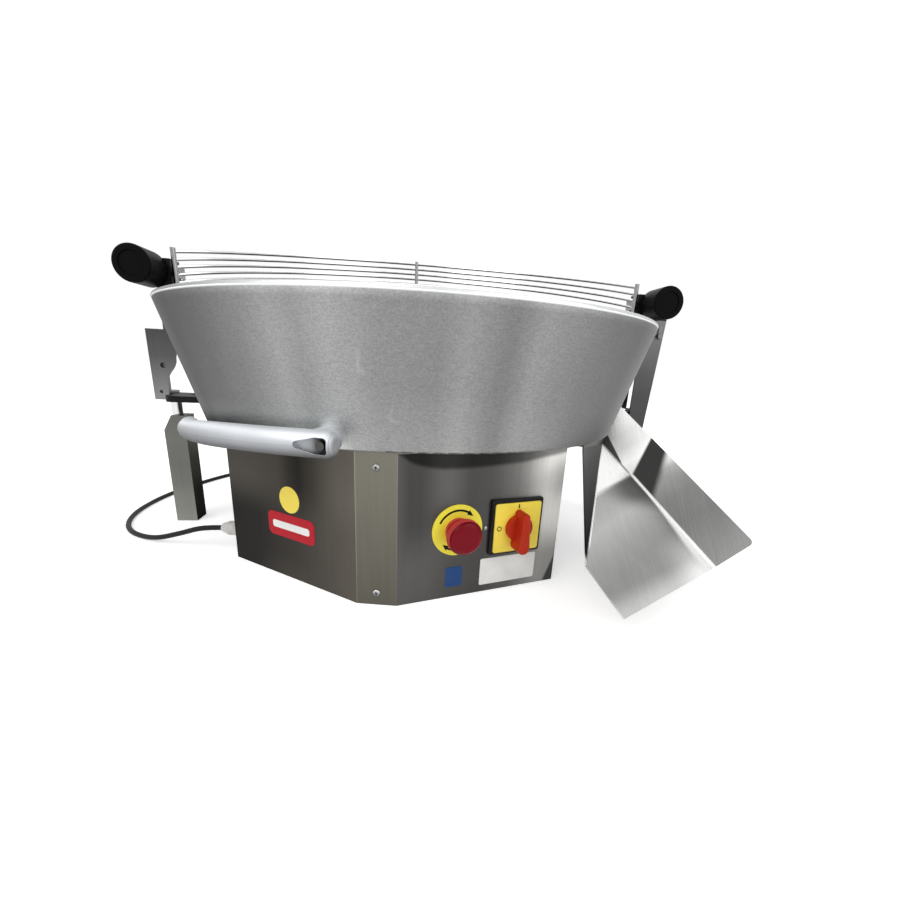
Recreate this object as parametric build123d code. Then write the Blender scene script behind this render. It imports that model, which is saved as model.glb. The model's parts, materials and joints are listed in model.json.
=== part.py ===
"""Bench dough rounder: a fixed cone bowl on an eight-sided base, with a turning drum and flight inside it."""
from build123d import *
import os
from math import atan2, cos, degrees, hypot, radians, sin, tan

# Bowl
BASE_HEIGHT = 176.0
BOWL_HEIGHT = 140.0
BOWL_TOP_RADIUS = 339.0
BOWL_BOTTOM_RADIUS = 299.0
BOWL_WALL = 6.0
BOWL_FLOOR = 8.0
BOWL_EDGE_ROUND = 3.0
WINDOW_AZIMUTH = -4.0
WINDOW_WIDTH = 104.0
WINDOW_HEIGHT = 58.0
WINDOW_CORNER = 10.0
WINDOW_SILL = 2.0

# Base
STRIP_WIDTH = 44.5
BASE_INSIDE_BOWL = 15.0
PANEL_LENGTH = 204.0
PANEL_ANGLE = 25.2
SHEET = 2.0
DECK_THICKNESS = 4.0
FRAME_BAR = 14.0
REAR_SPLIT = 9.0
VENT_COUNT = 5
VENT_LENGTH = 90.0
VENT_WIDTH = 6.0
VENT_PITCH = 16.0

# Drive
SHAFT_RADIUS = 20.0
SHAFT_END = 8.0
BEARING_RADIUS = 36.0
BEARING_HEIGHT = 14.0
HOUSING_RADIUS = 44.0
HOUSING_FLANGE_RADIUS = 75.0
HOUSING_FLANGE = 12.0
HOUSING_NECK = 18.0
GEARBOX_SIZE = 120.0
GEARBOX_HEIGHT = 112.0
GEARBOX_CORNER = 18.0
GEARBOX_WALL = 8.0
MOTOR_DROP = 62.0
MOTOR_RADIUS = 58.0
MOTOR_REAR_SPACE = 60.0
MOTOR_FLANGE = 10.0
MOTOR_SHAFT_RADIUS = 9.0
MOTOR_FINS = 20
MOTOR_FIN = 3.0
MOTOR_FIN_HEIGHT = 6.0
TERMINAL_REACH = 24.0
TERMINAL_LENGTH = 56.0
TERMINAL_HEIGHT = 52.0
FAN_SPACE = 6.0
FAN_WIDTH = 14.0
FAN_HUB_RADIUS = 18.0
FAN_RADIUS = 46.0
FAN_BLADE = 2.4
FAN_BLADES = 8
FAN_COVER_LENGTH = 34.0
FAN_COVER_WALL = 2.0
FAN_WINDOW = 8.0
FAN_WINDOWS = 6
CONTACTOR_WIDTH = 52.0
CONTACTOR_HEIGHT = 60.0
CONTACTOR_STEP = 8.0
CONTACTOR_Y = 60.0

# Drum
DRUM_BOTTOM_RADIUS = 150.0
DRUM_BELOW_RIM = 18.0
DRUM_WALL = 5.0
DRUM_DOME = 24.0
DRUM_HUB_RADIUS = 34.0
FLIGHT_PITCH = 95.0
FLIGHT_TURNS = 1.12
FLIGHT_THICKNESS = 8.0
STUD_RADIUS = 8.0
STUD_STEP = 6.0
DRUM_KNOB_RADIUS = 30.0
DRUM_KNOB_HEIGHT = 26.0
DRUM_KNOB_EDGE = 4.0
DRUM_KNOB_GRIPS = 6
DRUM_KNOB_GRIP = 9.0

# Stand beside the bowl: columns, posts, arms, uprights and knobs
STAND_TURN = 9.5
COLUMN_FROM_BOWL = 20.0
COLUMN_Y = 18.0
COLUMN_SIZE = 30.0
COLUMN_WALL = 2.0
COLUMN_BELOW_BOWL = 10.0
COLUMN_SLANT_WIDTH = 12.0
COLUMN_SLANT_HEIGHT = 22.0
COLUMN_FOOT = 5.0
COLUMN_FOOT_PLUG = 16.0
POST_RADIUS = 7.5
POST_LENGTH = 19.0
ARM_THICKNESS = 9.0
ARM_WIDTH = 26.0
BRACKET_HEIGHT = 58.0
UPRIGHT_FROM_BOWL = 23.0
UPRIGHT_WIDTH = 36.0
UPRIGHT_NECK = 25.0
UPRIGHT_FOOT = 21.0
RIGHT_UPRIGHT_WIDTH = 28.5
RIGHT_UPRIGHT_LEAN = 9.0
UPRIGHT_THICKNESS = 4.0
UPRIGHT_CURVE_LOW = 24.0
UPRIGHT_CURVE_HIGH = 62.0
UPRIGHT_HOLE_RADIUS = 4.0
UPRIGHT_HOLE_UP = 51.0
UPRIGHT_PIN_HOLE_RADIUS = 2.5
UPRIGHT_PIN_HOLE_UP = 12.0
SHOULDER_BELOW_RIM = 29.0
HEAD_RADIUS = 20.0
EAR_FROM_GUARD = 6.0
EAR_HALF_HEIGHT = 16.0
EAR_EDGE = 11.0
KNOB_FROM_EDGE = 18.6
KNOB_RADIUS = 24.0
KNOB_LENGTH = 43.0
KNOB_ROUND = 2.5
KNOB_BEVEL = 1.0
KNOB_RECESS = 1.5
KNOB_RECESS_RADIUS = 16.0
KNOB_BOLT_RADIUS = 5.0
KNOB_BOLT_END = 10.0
CLIP_BELOW_KNOB = 5.0
CLIP_WIDTH = 6.0
CLIP_HEIGHT = 20.0
CLIP_THICKNESS = 2.0
CLIP_NUT_RADIUS = 4.6
CLIP_NUT = 3.0
BRACE_RADIUS = 13.0
BRACE_REACH = 27.0
BRACE_LIFT = 10.0
BRACE_AZIMUTH = -98.0
BRACE_TIP = 20.0
BRACE_NOSE = 12.0
BRACE_NOSE_ROUND = 8.0
POCKET_LENGTH = 32.0
POCKET_WIDTH = 15.5
POCKET_POINT = 7.0
POCKET_CORNER = 4.0
POCKET_DEPTH = 8.0
BRACE_BOLT_RADIUS = 4.2
BRACE_BOLT_HEAD = 3.5

# Guard
GUARD_FROM_BOWL = 7.0
GUARD_ABOVE_RIM = 35.0
GUARD_WIRE = 5.0
GUARD_WIRES = 5
GUARD_PITCH = 10.0
GUARD_TILT = 12.4
GUARD_BAR = 7.0
GUARD_LUG = 4.0
GUARD_LUG_HALF_HEIGHT = 8.0
PIVOT_ABOVE_RIM = 50.0
PIVOT_Y = 15.0
PIVOT_RADIUS = 4.0
WIRE_SIDES = 8

# Outlet hood and chute
HOOD_LIFT = 27.0
HOOD_HEIGHT = 37.0
HOOD_FROM_BOWL = 1.0
HOOD_WALL = 3.0
HOOD_START = 2.0
HOOD_SPAN = 10.0
CHUTE_AZIMUTH = -12.6
CHUTE_HEADING = -50.0
CHUTE_SLOPE = 34.4
CHUTE_UNDER_BOWL = 20.0
CHUTE_INSIDE_BOWL = 5.0
CHUTE_LENGTH = 218.0
CHUTE_FLOOR_WIDTH = 205.0
CHUTE_FLOOR_TILT = 2.0
CHUTE_SIDE_EDGE = 59.0
CHUTE_WALL_WIDTH = 67.0
CHUTE_WALL_TILT = 31.0
CHUTE_WALL_BEHIND = 90.0
CHUTE_CHEEK_AZIMUTH = -40.0
CHUTE_CHEEK_INSIDE_BOWL = 3.4
CHUTE_CHEEK_UNDER_BOWL = 4.0
CHUTE_SHEET = 2.0
CHUTE_CORNER = 7.0
HANGER_WIDTH = 15.0
HANGER_PLATE = 3.0
HANGER_BOLT_RADIUS = 5.0
HANGER_BOLT_HEAD = 3.5

# Controls on the right front panel, along it and up from the table
ESTOP_ALONG = 68.5
ESTOP_Z = 83.5
ESTOP_DISC_RADIUS = 30.0
ESTOP_DISC = 1.5
ESTOP_COLLAR_RADIUS = 15.0
ESTOP_COLLAR = 4.5
ESTOP_SLEEVE_RADIUS = 11.0
ESTOP_SLEEVE_DEPTH = 14.0
ESTOP_NUT_RADIUS = 16.0
ESTOP_NUT = 5.0
ESTOP_STEM_RADIUS = 8.0
ESTOP_TRAVEL = 6.0
ESTOP_HEAD_RADIUS = 20.0
ESTOP_HEAD_FOOT_RADIUS = 12.0
ESTOP_HEAD_FLARE = 3.5
ESTOP_HEAD_CROWN = 11.5
ESTOP_HEAD_ROUND = 8.0
ESTOP_STAND = 14.3
CONTACTS_SIZE = 38.0
CONTACTS_DEPTH = 34.0
SWITCH_ALONG = 142.0
SWITCH_Z = 81.5
SWITCH_FRAME = 68.0
SWITCH_FRAME_DEPTH = 5.0
SWITCH_FRAME_BEVEL = 1.5
SWITCH_PLATE = 60.0
SWITCH_PLATE_DEPTH = 1.2
SWITCH_CORNER = 3.0
SWITCH_EYE_RADIUS = 10.0
SWITCH_BOSS_RADIUS = 16.0
SWITCH_BOSS = 7.0
SWITCH_HANDLE_UP = 22.0
SWITCH_HANDLE_DOWN = 27.5
SWITCH_HANDLE_WIDTH = 15.0
SWITCH_HANDLE_POINT = 9.0
SWITCH_HANDLE_DEPTH = 20.0
SWITCH_HANDLE_ROUND = 3.0
SWITCH_SHAFT_RADIUS = 5.0
SWITCH_SHAFT_END = 6.0
SWITCH_BODY = 50.0
SWITCH_BODY_DEPTH = 58.0
SCREW_RADIUS = 4.0
SCREW_HEAD = 1.6
SCREW_LOW_Z = 14.5
SCREW_HIGH_Z = 157.0
SMALL_SCREW_RADIUS = 2.5

# Cord
CORD_DIAMETER = 7.0
GLAND_FROM_CORNER = 17.0
GLAND_Z = 33.0
GLAND_HEX_RADIUS = 11.0
GLAND_HEX = 9.0
GLAND_THREAD_RADIUS = 7.9
GLAND_NUT_RADIUS = 12.0
GLAND_NUT = 6.0
GLAND_CAP_RADIUS = 9.5
GLAND_CAP_MOUTH = 5.5
GLAND_CAP_STRAIGHT = 8.0
GLAND_CAP = 18.0
COIL_X = -215.0
COIL_Y = 276.0
COIL_DIAMETER = 80.0
COIL_TURNS = 5
COIL_SPACE = 0.9
TIE_WIDTH = 8.0
TIE_BAND = 1.2
PLUG_RADIUS = 18.0
PLUG_LENGTH = 34.0
PLUG_SLEEVE = 34.0
PLUG_SLEEVE_RADIUS = 8.0
PLUG_SLEEVE_EDGE = 2.0
PLUG_BORE = 12.0
PLUG_PIN_RADIUS = 2.4
PLUG_PIN_LENGTH = 19.0
PLUG_PIN_SPACING = 19.0

# Clearances
RUNNING_FIT = 0.05
BODY_GAP = 0.3
HOLE_GAP = 2.0
FLIGHT_GAP = 4.0
CHUTE_GAP = 1.5
TIE_GAP = 0.4
TABLE_GAP = 0.1
CORD_GAP = 0.1
THROUGH = 25.0

BOWL_BOTTOM_Z = BASE_HEIGHT
BOWL_TOP_Z = BOWL_BOTTOM_Z + BOWL_HEIGHT
BOWL_SLOPE = (BOWL_TOP_RADIUS - BOWL_BOTTOM_RADIUS) / BOWL_HEIGHT
BOWL_WALL_ACROSS = BOWL_WALL * hypot(1, BOWL_SLOPE)
FLOOR_TOP_Z = BOWL_BOTTOM_Z + BOWL_FLOOR
DECK_BOTTOM_Z = BASE_HEIGHT - DECK_THICKNESS
BASE_HALF_DEPTH = BOWL_BOTTOM_RADIUS - BASE_INSIDE_BOWL
SIDE_X = STRIP_WIDTH / 2 + PANEL_LENGTH * cos(radians(PANEL_ANGLE))
SIDE_Y = BASE_HALF_DEPTH - PANEL_LENGTH * sin(radians(PANEL_ANGLE))
HOUSING_TOP_Z = BASE_HEIGHT + HOUSING_NECK
GEARBOX_TOP_Z = DECK_BOTTOM_Z - HOUSING_FLANGE
GEARBOX_BOTTOM_Z = GEARBOX_TOP_Z - GEARBOX_HEIGHT
MOTOR_Z = GEARBOX_TOP_Z - MOTOR_DROP
MOTOR_START_Y = GEARBOX_SIZE / 2
MOTOR_END_Y = BASE_HALF_DEPTH - SHEET - MOTOR_REAR_SPACE - FAN_COVER_LENGTH
WORM_Y = SHAFT_RADIUS + GEARBOX_WALL
DRUM_BOTTOM_Z = FLOOR_TOP_Z + FLIGHT_GAP
DRUM_TOP_Z = BOWL_TOP_Z - DRUM_BELOW_RIM
DRUM_DOME_Z = DRUM_TOP_Z + DRUM_DOME
COLUMN_X = BOWL_TOP_RADIUS + COLUMN_FROM_BOWL
COLUMN_TOP_Z = BOWL_BOTTOM_Z - COLUMN_BELOW_BOWL
ARM_Z = COLUMN_TOP_Z + POST_LENGTH
ARM_TOP_Z = ARM_Z + ARM_THICKNESS
ARM_BACK_Y = COLUMN_Y + ARM_WIDTH / 2
UPRIGHT_INNER_X = BOWL_TOP_RADIUS + UPRIGHT_FROM_BOWL
UPRIGHT_OUTER_X = UPRIGHT_INNER_X + UPRIGHT_WIDTH
UPRIGHT_FOOT_X = UPRIGHT_OUTER_X - UPRIGHT_FOOT
KNOB_X = UPRIGHT_OUTER_X - KNOB_FROM_EDGE
PIVOT_Z = BOWL_TOP_Z + PIVOT_ABOVE_RIM
GUARD_RADIUS = BOWL_TOP_RADIUS + GUARD_FROM_BOWL
GUARD_LOW_Z = BOWL_TOP_Z + GUARD_ABOVE_RIM
EAR_X = GUARD_RADIUS + EAR_FROM_GUARD
UPRIGHT_TOP_Z = PIVOT_Z - EAR_HALF_HEIGHT
SWITCH_FACE = SWITCH_FRAME_DEPTH + SWITCH_PLATE_DEPTH
GLAND_Y = GLAND_FROM_CORNER - SIDE_Y
CORD_LAY_Z = CORD_DIAMETER / 2 + TABLE_GAP


def polar(radius, azimuth, z=0.0):
    """A point at a radius and an azimuth about the bowl's axis."""
    return Vector(radius * cos(radians(azimuth)), radius * sin(radians(azimuth)), z)


def block(x0, x1, y0, y1, z0, z1):
    """A box between limits, given in any order."""
    size = (abs(x1 - x0), abs(y1 - y0), abs(z1 - z0))
    return Pos((x0 + x1) / 2, (y0 + y1) / 2, (z0 + z1) / 2) * Box(*size)


def rod(start, end, radius):
    """A cylinder from one point to another."""
    start, end = Vector(*start), Vector(*end)
    return extrude(Plane(origin=start, z_dir=end - start) * Circle(radius), (end - start).length)


def tube(outer, inner, z0, z1):
    """An upright ring about the bowl's axis."""
    return Pos(0, 0, z0) * extrude(Circle(outer) - Circle(inner), z1 - z0)


def turning(profile):
    """A profile of radius and height, turned about the bowl's axis."""
    return revolve(Plane.XZ * make_face(profile), Axis.Z)


def bowl_radius(z):
    return BOWL_BOTTOM_RADIUS + (z - BOWL_BOTTOM_Z) * BOWL_SLOPE


def drum_radius(z):
    return DRUM_BOTTOM_RADIUS + (z - DRUM_BOTTOM_Z) * BOWL_SLOPE


def cone(radius, z0, z1):
    """A solid cone slice whose radius is a function of height."""
    return turning(Polyline((0, z0), (radius(z0), z0), (radius(z1), z1), (0, z1), close=True))


def bowl_space():
    return cone(bowl_radius, BOWL_BOTTOM_Z, BOWL_TOP_Z)


def turned(solid):
    """From the stand's own axes to the machine's."""
    return solid.rotate(Axis.Z, STAND_TURN)


def mirrored(solid):
    return mirror(solid, Plane.YZ)


def round_path(points):
    """Straight runs joined by arcs that fill most of each corner, and the radii used."""
    runs = [Vector(*b) - Vector(*a) for a, b in zip(points, points[1:])]
    radii = []
    for before, after in zip(runs, runs[1:]):
        half_turn = radians(before.get_angle(after)) / 2
        radii.append(0.45 * min(before.length, after.length) / tan(half_turn))
    return FilletPolyline(*points, radius=radii), radii


def along(path, section):
    """A section swept along a path."""
    return sweep(Plane(origin=path @ 0, z_dir=path % 0) * section, path)


# Bowl
def bowl():
    top, inner = BOWL_TOP_RADIUS, BOWL_TOP_RADIUS - BOWL_WALL_ACROSS
    floor_hole = HOUSING_RADIUS + HOLE_GAP
    crown = ((top + inner) / 2, BOWL_TOP_Z + BOWL_WALL_ACROSS / 2)
    rim = ThreePointArc((top, BOWL_TOP_Z), crown, (inner, BOWL_TOP_Z))
    wall = Polyline((inner, BOWL_TOP_Z), (bowl_radius(FLOOR_TOP_Z) - BOWL_WALL_ACROSS, FLOOR_TOP_Z),
                    (floor_hole, FLOOR_TOP_Z), (floor_hole, BOWL_BOTTOM_Z),
                    (BOWL_BOTTOM_RADIUS, BOWL_BOTTOM_Z), (top, BOWL_TOP_Z))
    profile = make_face([rim, wall])
    corner = profile.vertices().sort_by_distance((BOWL_BOTTOM_RADIUS, BOWL_BOTTOM_Z, 0))[0]
    body = revolve(Plane.XZ * fillet(corner, BOWL_EDGE_ROUND), Axis.Z)
    centre = polar(BOWL_BOTTOM_RADIUS, WINDOW_AZIMUTH, FLOOR_TOP_Z + WINDOW_SILL + WINDOW_HEIGHT / 2)
    face = Plane(origin=centre, x_dir=polar(1, WINDOW_AZIMUTH + 90), z_dir=polar(1, WINDOW_AZIMUTH))
    return body - extrude(face * RectangleRounded(WINDOW_WIDTH, WINDOW_HEIGHT, WINDOW_CORNER), THROUGH, both=True)


# Base
def base_plan(inset=0.0):
    half = STRIP_WIDTH / 2
    corners = [(half, -BASE_HALF_DEPTH), (SIDE_X, -SIDE_Y), (SIDE_X, SIDE_Y), (half, BASE_HALF_DEPTH)]
    face = make_face(Polyline(*corners, *[(-x, y) for x, y in reversed(corners)], close=True))
    return offset(face, -inset, kind=Kind.INTERSECTION) if inset else face


def base_prism(inset, z0, z1):
    return Pos(0, 0, z0) * extrude(base_plan(inset), z1 - z0)


def panel_ring(x0, x1, y0, y1):
    """The part of the base's upright walls that lies between limits in plan."""
    ring = base_prism(0, 0, DECK_BOTTOM_Z) - base_prism(SHEET, 0, DECK_BOTTOM_Z)
    return ring & block(x0, x1, y0, y1, 0, DECK_BOTTOM_Z)


def panel_plane(along_panel, z, out=0.0):
    """A plane on the right front panel: x along it, y up, z outward."""
    angle = radians(PANEL_ANGLE)
    run, outward = Vector(cos(angle), sin(angle), 0), Vector(sin(angle), -cos(angle), 0)
    origin = Vector(STRIP_WIDTH / 2, -BASE_HALF_DEPTH, z) + run * along_panel + outward * out
    return Plane(origin=origin, x_dir=run, z_dir=outward)


def left_panel():
    part = panel_ring(-SIDE_X, -STRIP_WIDTH / 2, -BASE_HALF_DEPTH, SIDE_Y - REAR_SPLIT)
    hole = GLAND_THREAD_RADIUS + RUNNING_FIT
    return part - rod((-SIDE_X, GLAND_Y, GLAND_Z), (SHEET - SIDE_X, GLAND_Y, GLAND_Z), hole)


def control_panel():
    part = panel_ring(STRIP_WIDTH / 2, SIDE_X, -BASE_HALF_DEPTH, SIDE_Y - REAR_SPLIT)
    part -= extrude(panel_plane(ESTOP_ALONG, ESTOP_Z) * Circle(ESTOP_SLEEVE_RADIUS + BODY_GAP), THROUGH, both=True)
    return part - extrude(panel_plane(SWITCH_ALONG, SWITCH_Z) * Circle(SWITCH_SHAFT_RADIUS + HOLE_GAP), THROUGH,
                          both=True)


def front_strip():
    return panel_ring(-STRIP_WIDTH / 2, STRIP_WIDTH / 2, -BASE_HALF_DEPTH, 0)


def rear_cover():
    part = panel_ring(-SIDE_X, SIDE_X, SIDE_Y - REAR_SPLIT, BASE_HALF_DEPTH)
    middle = panel_plane(PANEL_LENGTH / 2, DECK_BOTTOM_Z / 2)
    for i in range(VENT_COUNT):
        lift = (i - (VENT_COUNT - 1) / 2) * VENT_PITCH
        slot = extrude(middle * Pos(0, lift) * SlotOverall(VENT_LENGTH, VENT_WIDTH), THROUGH, both=True)
        back = slot.rotate(Axis.Z, 180)
        part = part - back - mirrored(back)
    return part


def base_frame():
    """Bars inside the walls: a ring at the top, a ring at the bottom and four corner posts."""
    walls = base_prism(SHEET, SHEET, DECK_BOTTOM_Z) - base_prism(SHEET + FRAME_BAR, SHEET, DECK_BOTTOM_Z)
    keep = base_prism(0, DECK_BOTTOM_Z - FRAME_BAR, DECK_BOTTOM_Z) + base_prism(0, SHEET, SHEET + FRAME_BAR)
    for x in (-SIDE_X, SIDE_X):
        for y in (-SIDE_Y, SIDE_Y):
            keep += block(x - 2 * FRAME_BAR, x + 2 * FRAME_BAR, y - FRAME_BAR, y + FRAME_BAR, SHEET, DECK_BOTTOM_Z)
    nut_room = GLAND_NUT_RADIUS + HOLE_GAP
    return (walls & keep) - rod((-SIDE_X, GLAND_Y, GLAND_Z), (2 * FRAME_BAR - SIDE_X, GLAND_Y, GLAND_Z), nut_room)


def base_pan():
    return base_prism(SHEET, 0, SHEET)


def deck_plate():
    return base_prism(0, DECK_BOTTOM_Z, BASE_HEIGHT) - rod((0, 0, DECK_BOTTOM_Z), (0, 0, BASE_HEIGHT), HOUSING_RADIUS)


# Drive
def bearing_housing():
    body = tube(HOUSING_FLANGE_RADIUS, BEARING_RADIUS, GEARBOX_TOP_Z, DECK_BOTTOM_Z)
    return body + tube(HOUSING_RADIUS, BEARING_RADIUS, GEARBOX_TOP_Z, HOUSING_TOP_Z)


def bearing(z):
    return tube(BEARING_RADIUS, SHAFT_RADIUS + RUNNING_FIT, z, z + BEARING_HEIGHT)


def shaft_seal():
    return tube(BEARING_RADIUS, SHAFT_RADIUS + RUNNING_FIT, GEARBOX_TOP_Z + 2 * BEARING_HEIGHT, HOUSING_TOP_Z)


def drive_shaft():
    step = DRUM_DOME_Z - STUD_STEP
    body = rod((0, 0, GEARBOX_BOTTOM_Z + SHAFT_END), (0, 0, step), SHAFT_RADIUS)
    return body + rod((0, 0, step), (0, 0, step + DRUM_KNOB_HEIGHT), STUD_RADIUS)


def gearbox():
    body = extrude(Pos(0, 0, GEARBOX_BOTTOM_Z) * RectangleRounded(GEARBOX_SIZE, GEARBOX_SIZE, GEARBOX_CORNER),
                   GEARBOX_HEIGHT)
    body -= rod((0, 0, GEARBOX_BOTTOM_Z + SHAFT_END / 2), (0, 0, GEARBOX_TOP_Z), SHAFT_RADIUS + RUNNING_FIT)
    return body - rod((0, WORM_Y, MOTOR_Z), (0, MOTOR_START_Y, MOTOR_Z), MOTOR_SHAFT_RADIUS + RUNNING_FIT)


def about_motor(solid, count):
    """Copies of a solid in even steps about the motor's axis."""
    return [solid.rotate(Axis((0, 0, MOTOR_Z), (0, 1, 0)), i * 360 / count) for i in range(count)]


def motor_body():
    core, start = MOTOR_RADIUS - MOTOR_FIN_HEIGHT, MOTOR_START_Y
    body = rod((0, start, MOTOR_Z), (0, MOTOR_END_Y, MOTOR_Z), core)
    body += rod((0, start, MOTOR_Z), (0, start + MOTOR_FLANGE, MOTOR_Z), MOTOR_RADIUS)
    fin = block(-MOTOR_FIN / 2, MOTOR_FIN / 2, start + MOTOR_FLANGE / 2, MOTOR_END_Y - MOTOR_FLANGE,
                MOTOR_Z + core - MOTOR_FIN, MOTOR_Z + MOTOR_RADIUS)
    body = body.fuse(*about_motor(fin, MOTOR_FINS))
    middle, half = (start + MOTOR_END_Y) / 2, TERMINAL_LENGTH / 2
    body += block(core - MOTOR_FIN_HEIGHT, MOTOR_RADIUS + TERMINAL_REACH, middle - half, middle + half,
                  MOTOR_Z - TERMINAL_HEIGHT / 2, MOTOR_Z + TERMINAL_HEIGHT / 2)
    return body - rod((0, start, MOTOR_Z), (0, MOTOR_END_Y, MOTOR_Z), MOTOR_SHAFT_RADIUS + RUNNING_FIT)


def motor_rotor():
    fan = MOTOR_END_Y + FAN_SPACE
    part = rod((0, WORM_Y + HOLE_GAP, MOTOR_Z), (0, fan + FAN_WIDTH + FAN_SPACE, MOTOR_Z), MOTOR_SHAFT_RADIUS)
    part += rod((0, fan, MOTOR_Z), (0, fan + FAN_WIDTH, MOTOR_Z), FAN_HUB_RADIUS)
    blade = block(-FAN_BLADE / 2, FAN_BLADE / 2, fan, fan + FAN_WIDTH,
                  MOTOR_Z + FAN_HUB_RADIUS - FAN_BLADE, MOTOR_Z + FAN_RADIUS)
    return part.fuse(*about_motor(blade, FAN_BLADES))


def fan_cover():
    """Cup over the fan, with windows in its end."""
    inner, start, end = MOTOR_RADIUS - MOTOR_FIN_HEIGHT, MOTOR_END_Y - FAN_SPACE, MOTOR_END_Y + FAN_COVER_LENGTH
    part = rod((0, start, MOTOR_Z), (0, end, MOTOR_Z), inner + FAN_COVER_WALL)
    part -= rod((0, start, MOTOR_Z), (0, end - FAN_COVER_WALL, MOTOR_Z), inner)
    window = block(-FAN_WINDOW / 2, FAN_WINDOW / 2, MOTOR_END_Y, end, MOTOR_Z + FAN_HUB_RADIUS,
                   MOTOR_Z + inner - FAN_WINDOW)
    return part.cut(*about_motor(window, FAN_WINDOWS))


def contactor():
    x, half, step = SIDE_X - SHEET - FRAME_BAR - CONTACTOR_WIDTH, CONTACTOR_WIDTH / 2, CONTACTOR_STEP
    top = SHEET + CONTACTOR_HEIGHT
    body = block(x - half, x + half, CONTACTOR_Y - half, CONTACTOR_Y + half, SHEET, top)
    half -= step
    return body + block(x - half, x + half, CONTACTOR_Y - half, CONTACTOR_Y + half, top, top + step)


# Drum
def rounding_drum():
    """Thin cone with a domed top and a hub down to the shaft's step."""
    low, top, hub = drum_radius(DRUM_BOTTOM_Z), drum_radius(DRUM_TOP_Z), DRUM_HUB_RADIUS
    shoulder = (top * 0.62, DRUM_TOP_Z + DRUM_DOME * 0.72)
    hub_foot = HOUSING_TOP_Z + FLIGHT_GAP
    profile = [
        Line((low, DRUM_BOTTOM_Z), (top, DRUM_TOP_Z)),
        ThreePointArc((top, DRUM_TOP_Z), shoulder, (hub, DRUM_DOME_Z)),
        Polyline((hub, DRUM_DOME_Z), (STUD_RADIUS, DRUM_DOME_Z), (STUD_RADIUS, DRUM_DOME_Z - STUD_STEP),
                 (SHAFT_RADIUS, DRUM_DOME_Z - STUD_STEP), (SHAFT_RADIUS, hub_foot), (hub, hub_foot),
                 (hub, DRUM_DOME_Z - DRUM_WALL)),
        ThreePointArc((hub, DRUM_DOME_Z - DRUM_WALL), (shoulder[0], shoulder[1] - DRUM_WALL),
                      (top - DRUM_WALL, DRUM_TOP_Z - DRUM_WALL)),
        Polyline((top - DRUM_WALL, DRUM_TOP_Z - DRUM_WALL), (low - DRUM_WALL, DRUM_BOTTOM_Z), (low, DRUM_BOTTOM_Z)),
    ]
    return turning(profile)


def spiral_flight():
    """Helical channel floor on the drum, trimmed to the bowl's cone with a running gap."""
    middle = (DRUM_BOTTOM_RADIUS + BOWL_TOP_RADIUS) / 2
    path = Pos(0, 0, DRUM_BOTTOM_Z + FLIGHT_THICKNESS / 2) * Helix(FLIGHT_PITCH, FLIGHT_PITCH * FLIGHT_TURNS, middle)
    section = Plane(origin=path @ 0, x_dir=(1, 0, 0), z_dir=path % 0) * Rectangle(BOWL_TOP_RADIUS, FLIGHT_THICKNESS)
    ribbon = sweep(section, path, is_frenet=True)
    channel = cone(lambda z: bowl_radius(z) - BOWL_WALL_ACROSS - FLIGHT_GAP, DRUM_BOTTOM_Z, BOWL_TOP_Z)
    return (ribbon & channel) - cone(drum_radius, DRUM_BOTTOM_Z, BOWL_TOP_Z)


def drum_knob():
    z = DRUM_DOME_Z + BODY_GAP
    body = Pos(0, 0, z) * extrude(Circle(DRUM_KNOB_RADIUS), DRUM_KNOB_HEIGHT)
    body = chamfer(body.edges().group_by(Axis.Z)[-1], DRUM_KNOB_EDGE)
    for i in range(DRUM_KNOB_GRIPS):
        spot = polar(DRUM_KNOB_RADIUS + DRUM_KNOB_GRIP / 2, i * 360 / DRUM_KNOB_GRIPS, z)
        body -= Pos(*spot) * extrude(Circle(DRUM_KNOB_GRIP), DRUM_KNOB_HEIGHT)
    stud_top = DRUM_DOME_Z - STUD_STEP + DRUM_KNOB_HEIGHT
    return body - rod((0, 0, z), (0, 0, stud_top + BODY_GAP), STUD_RADIUS + RUNNING_FIT)


# Stand: drawn on its own axes, then turned
def column_spot(side):
    return side * COLUMN_X, side * COLUMN_Y


def column_block(side, half, z0, z1):
    x, y = column_spot(side)
    return block(x - half, x + half, y - half, y + half, z0, z1)


def column(side):
    """Square tube, closed at the top, where its outer edge slants."""
    x, y = column_spot(side)
    half = COLUMN_SIZE / 2
    outer = x + side * half
    slant = Polyline((outer, COLUMN_TOP_Z), (outer - side * COLUMN_SLANT_WIDTH, COLUMN_TOP_Z),
                     (outer, COLUMN_TOP_Z - COLUMN_SLANT_HEIGHT), close=True)
    body = column_block(side, half, COLUMN_FOOT, COLUMN_TOP_Z)
    body -= extrude(Plane.XZ.offset(-y) * make_face(slant), COLUMN_SIZE, both=True)
    ceiling = COLUMN_TOP_Z - COLUMN_SLANT_HEIGHT - COLUMN_WALL
    return body - column_block(side, half - COLUMN_WALL, COLUMN_FOOT, ceiling)


def column_foot(side):
    half = COLUMN_SIZE / 2
    return column_block(side, half, 0, COLUMN_FOOT) + column_block(
        side, half - COLUMN_WALL, COLUMN_FOOT, COLUMN_FOOT + COLUMN_FOOT_PLUG)


def post(side):
    x, y = column_spot(side)
    return rod((x, y, COLUMN_TOP_Z), (x, y, ARM_Z), POST_RADIUS)


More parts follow.
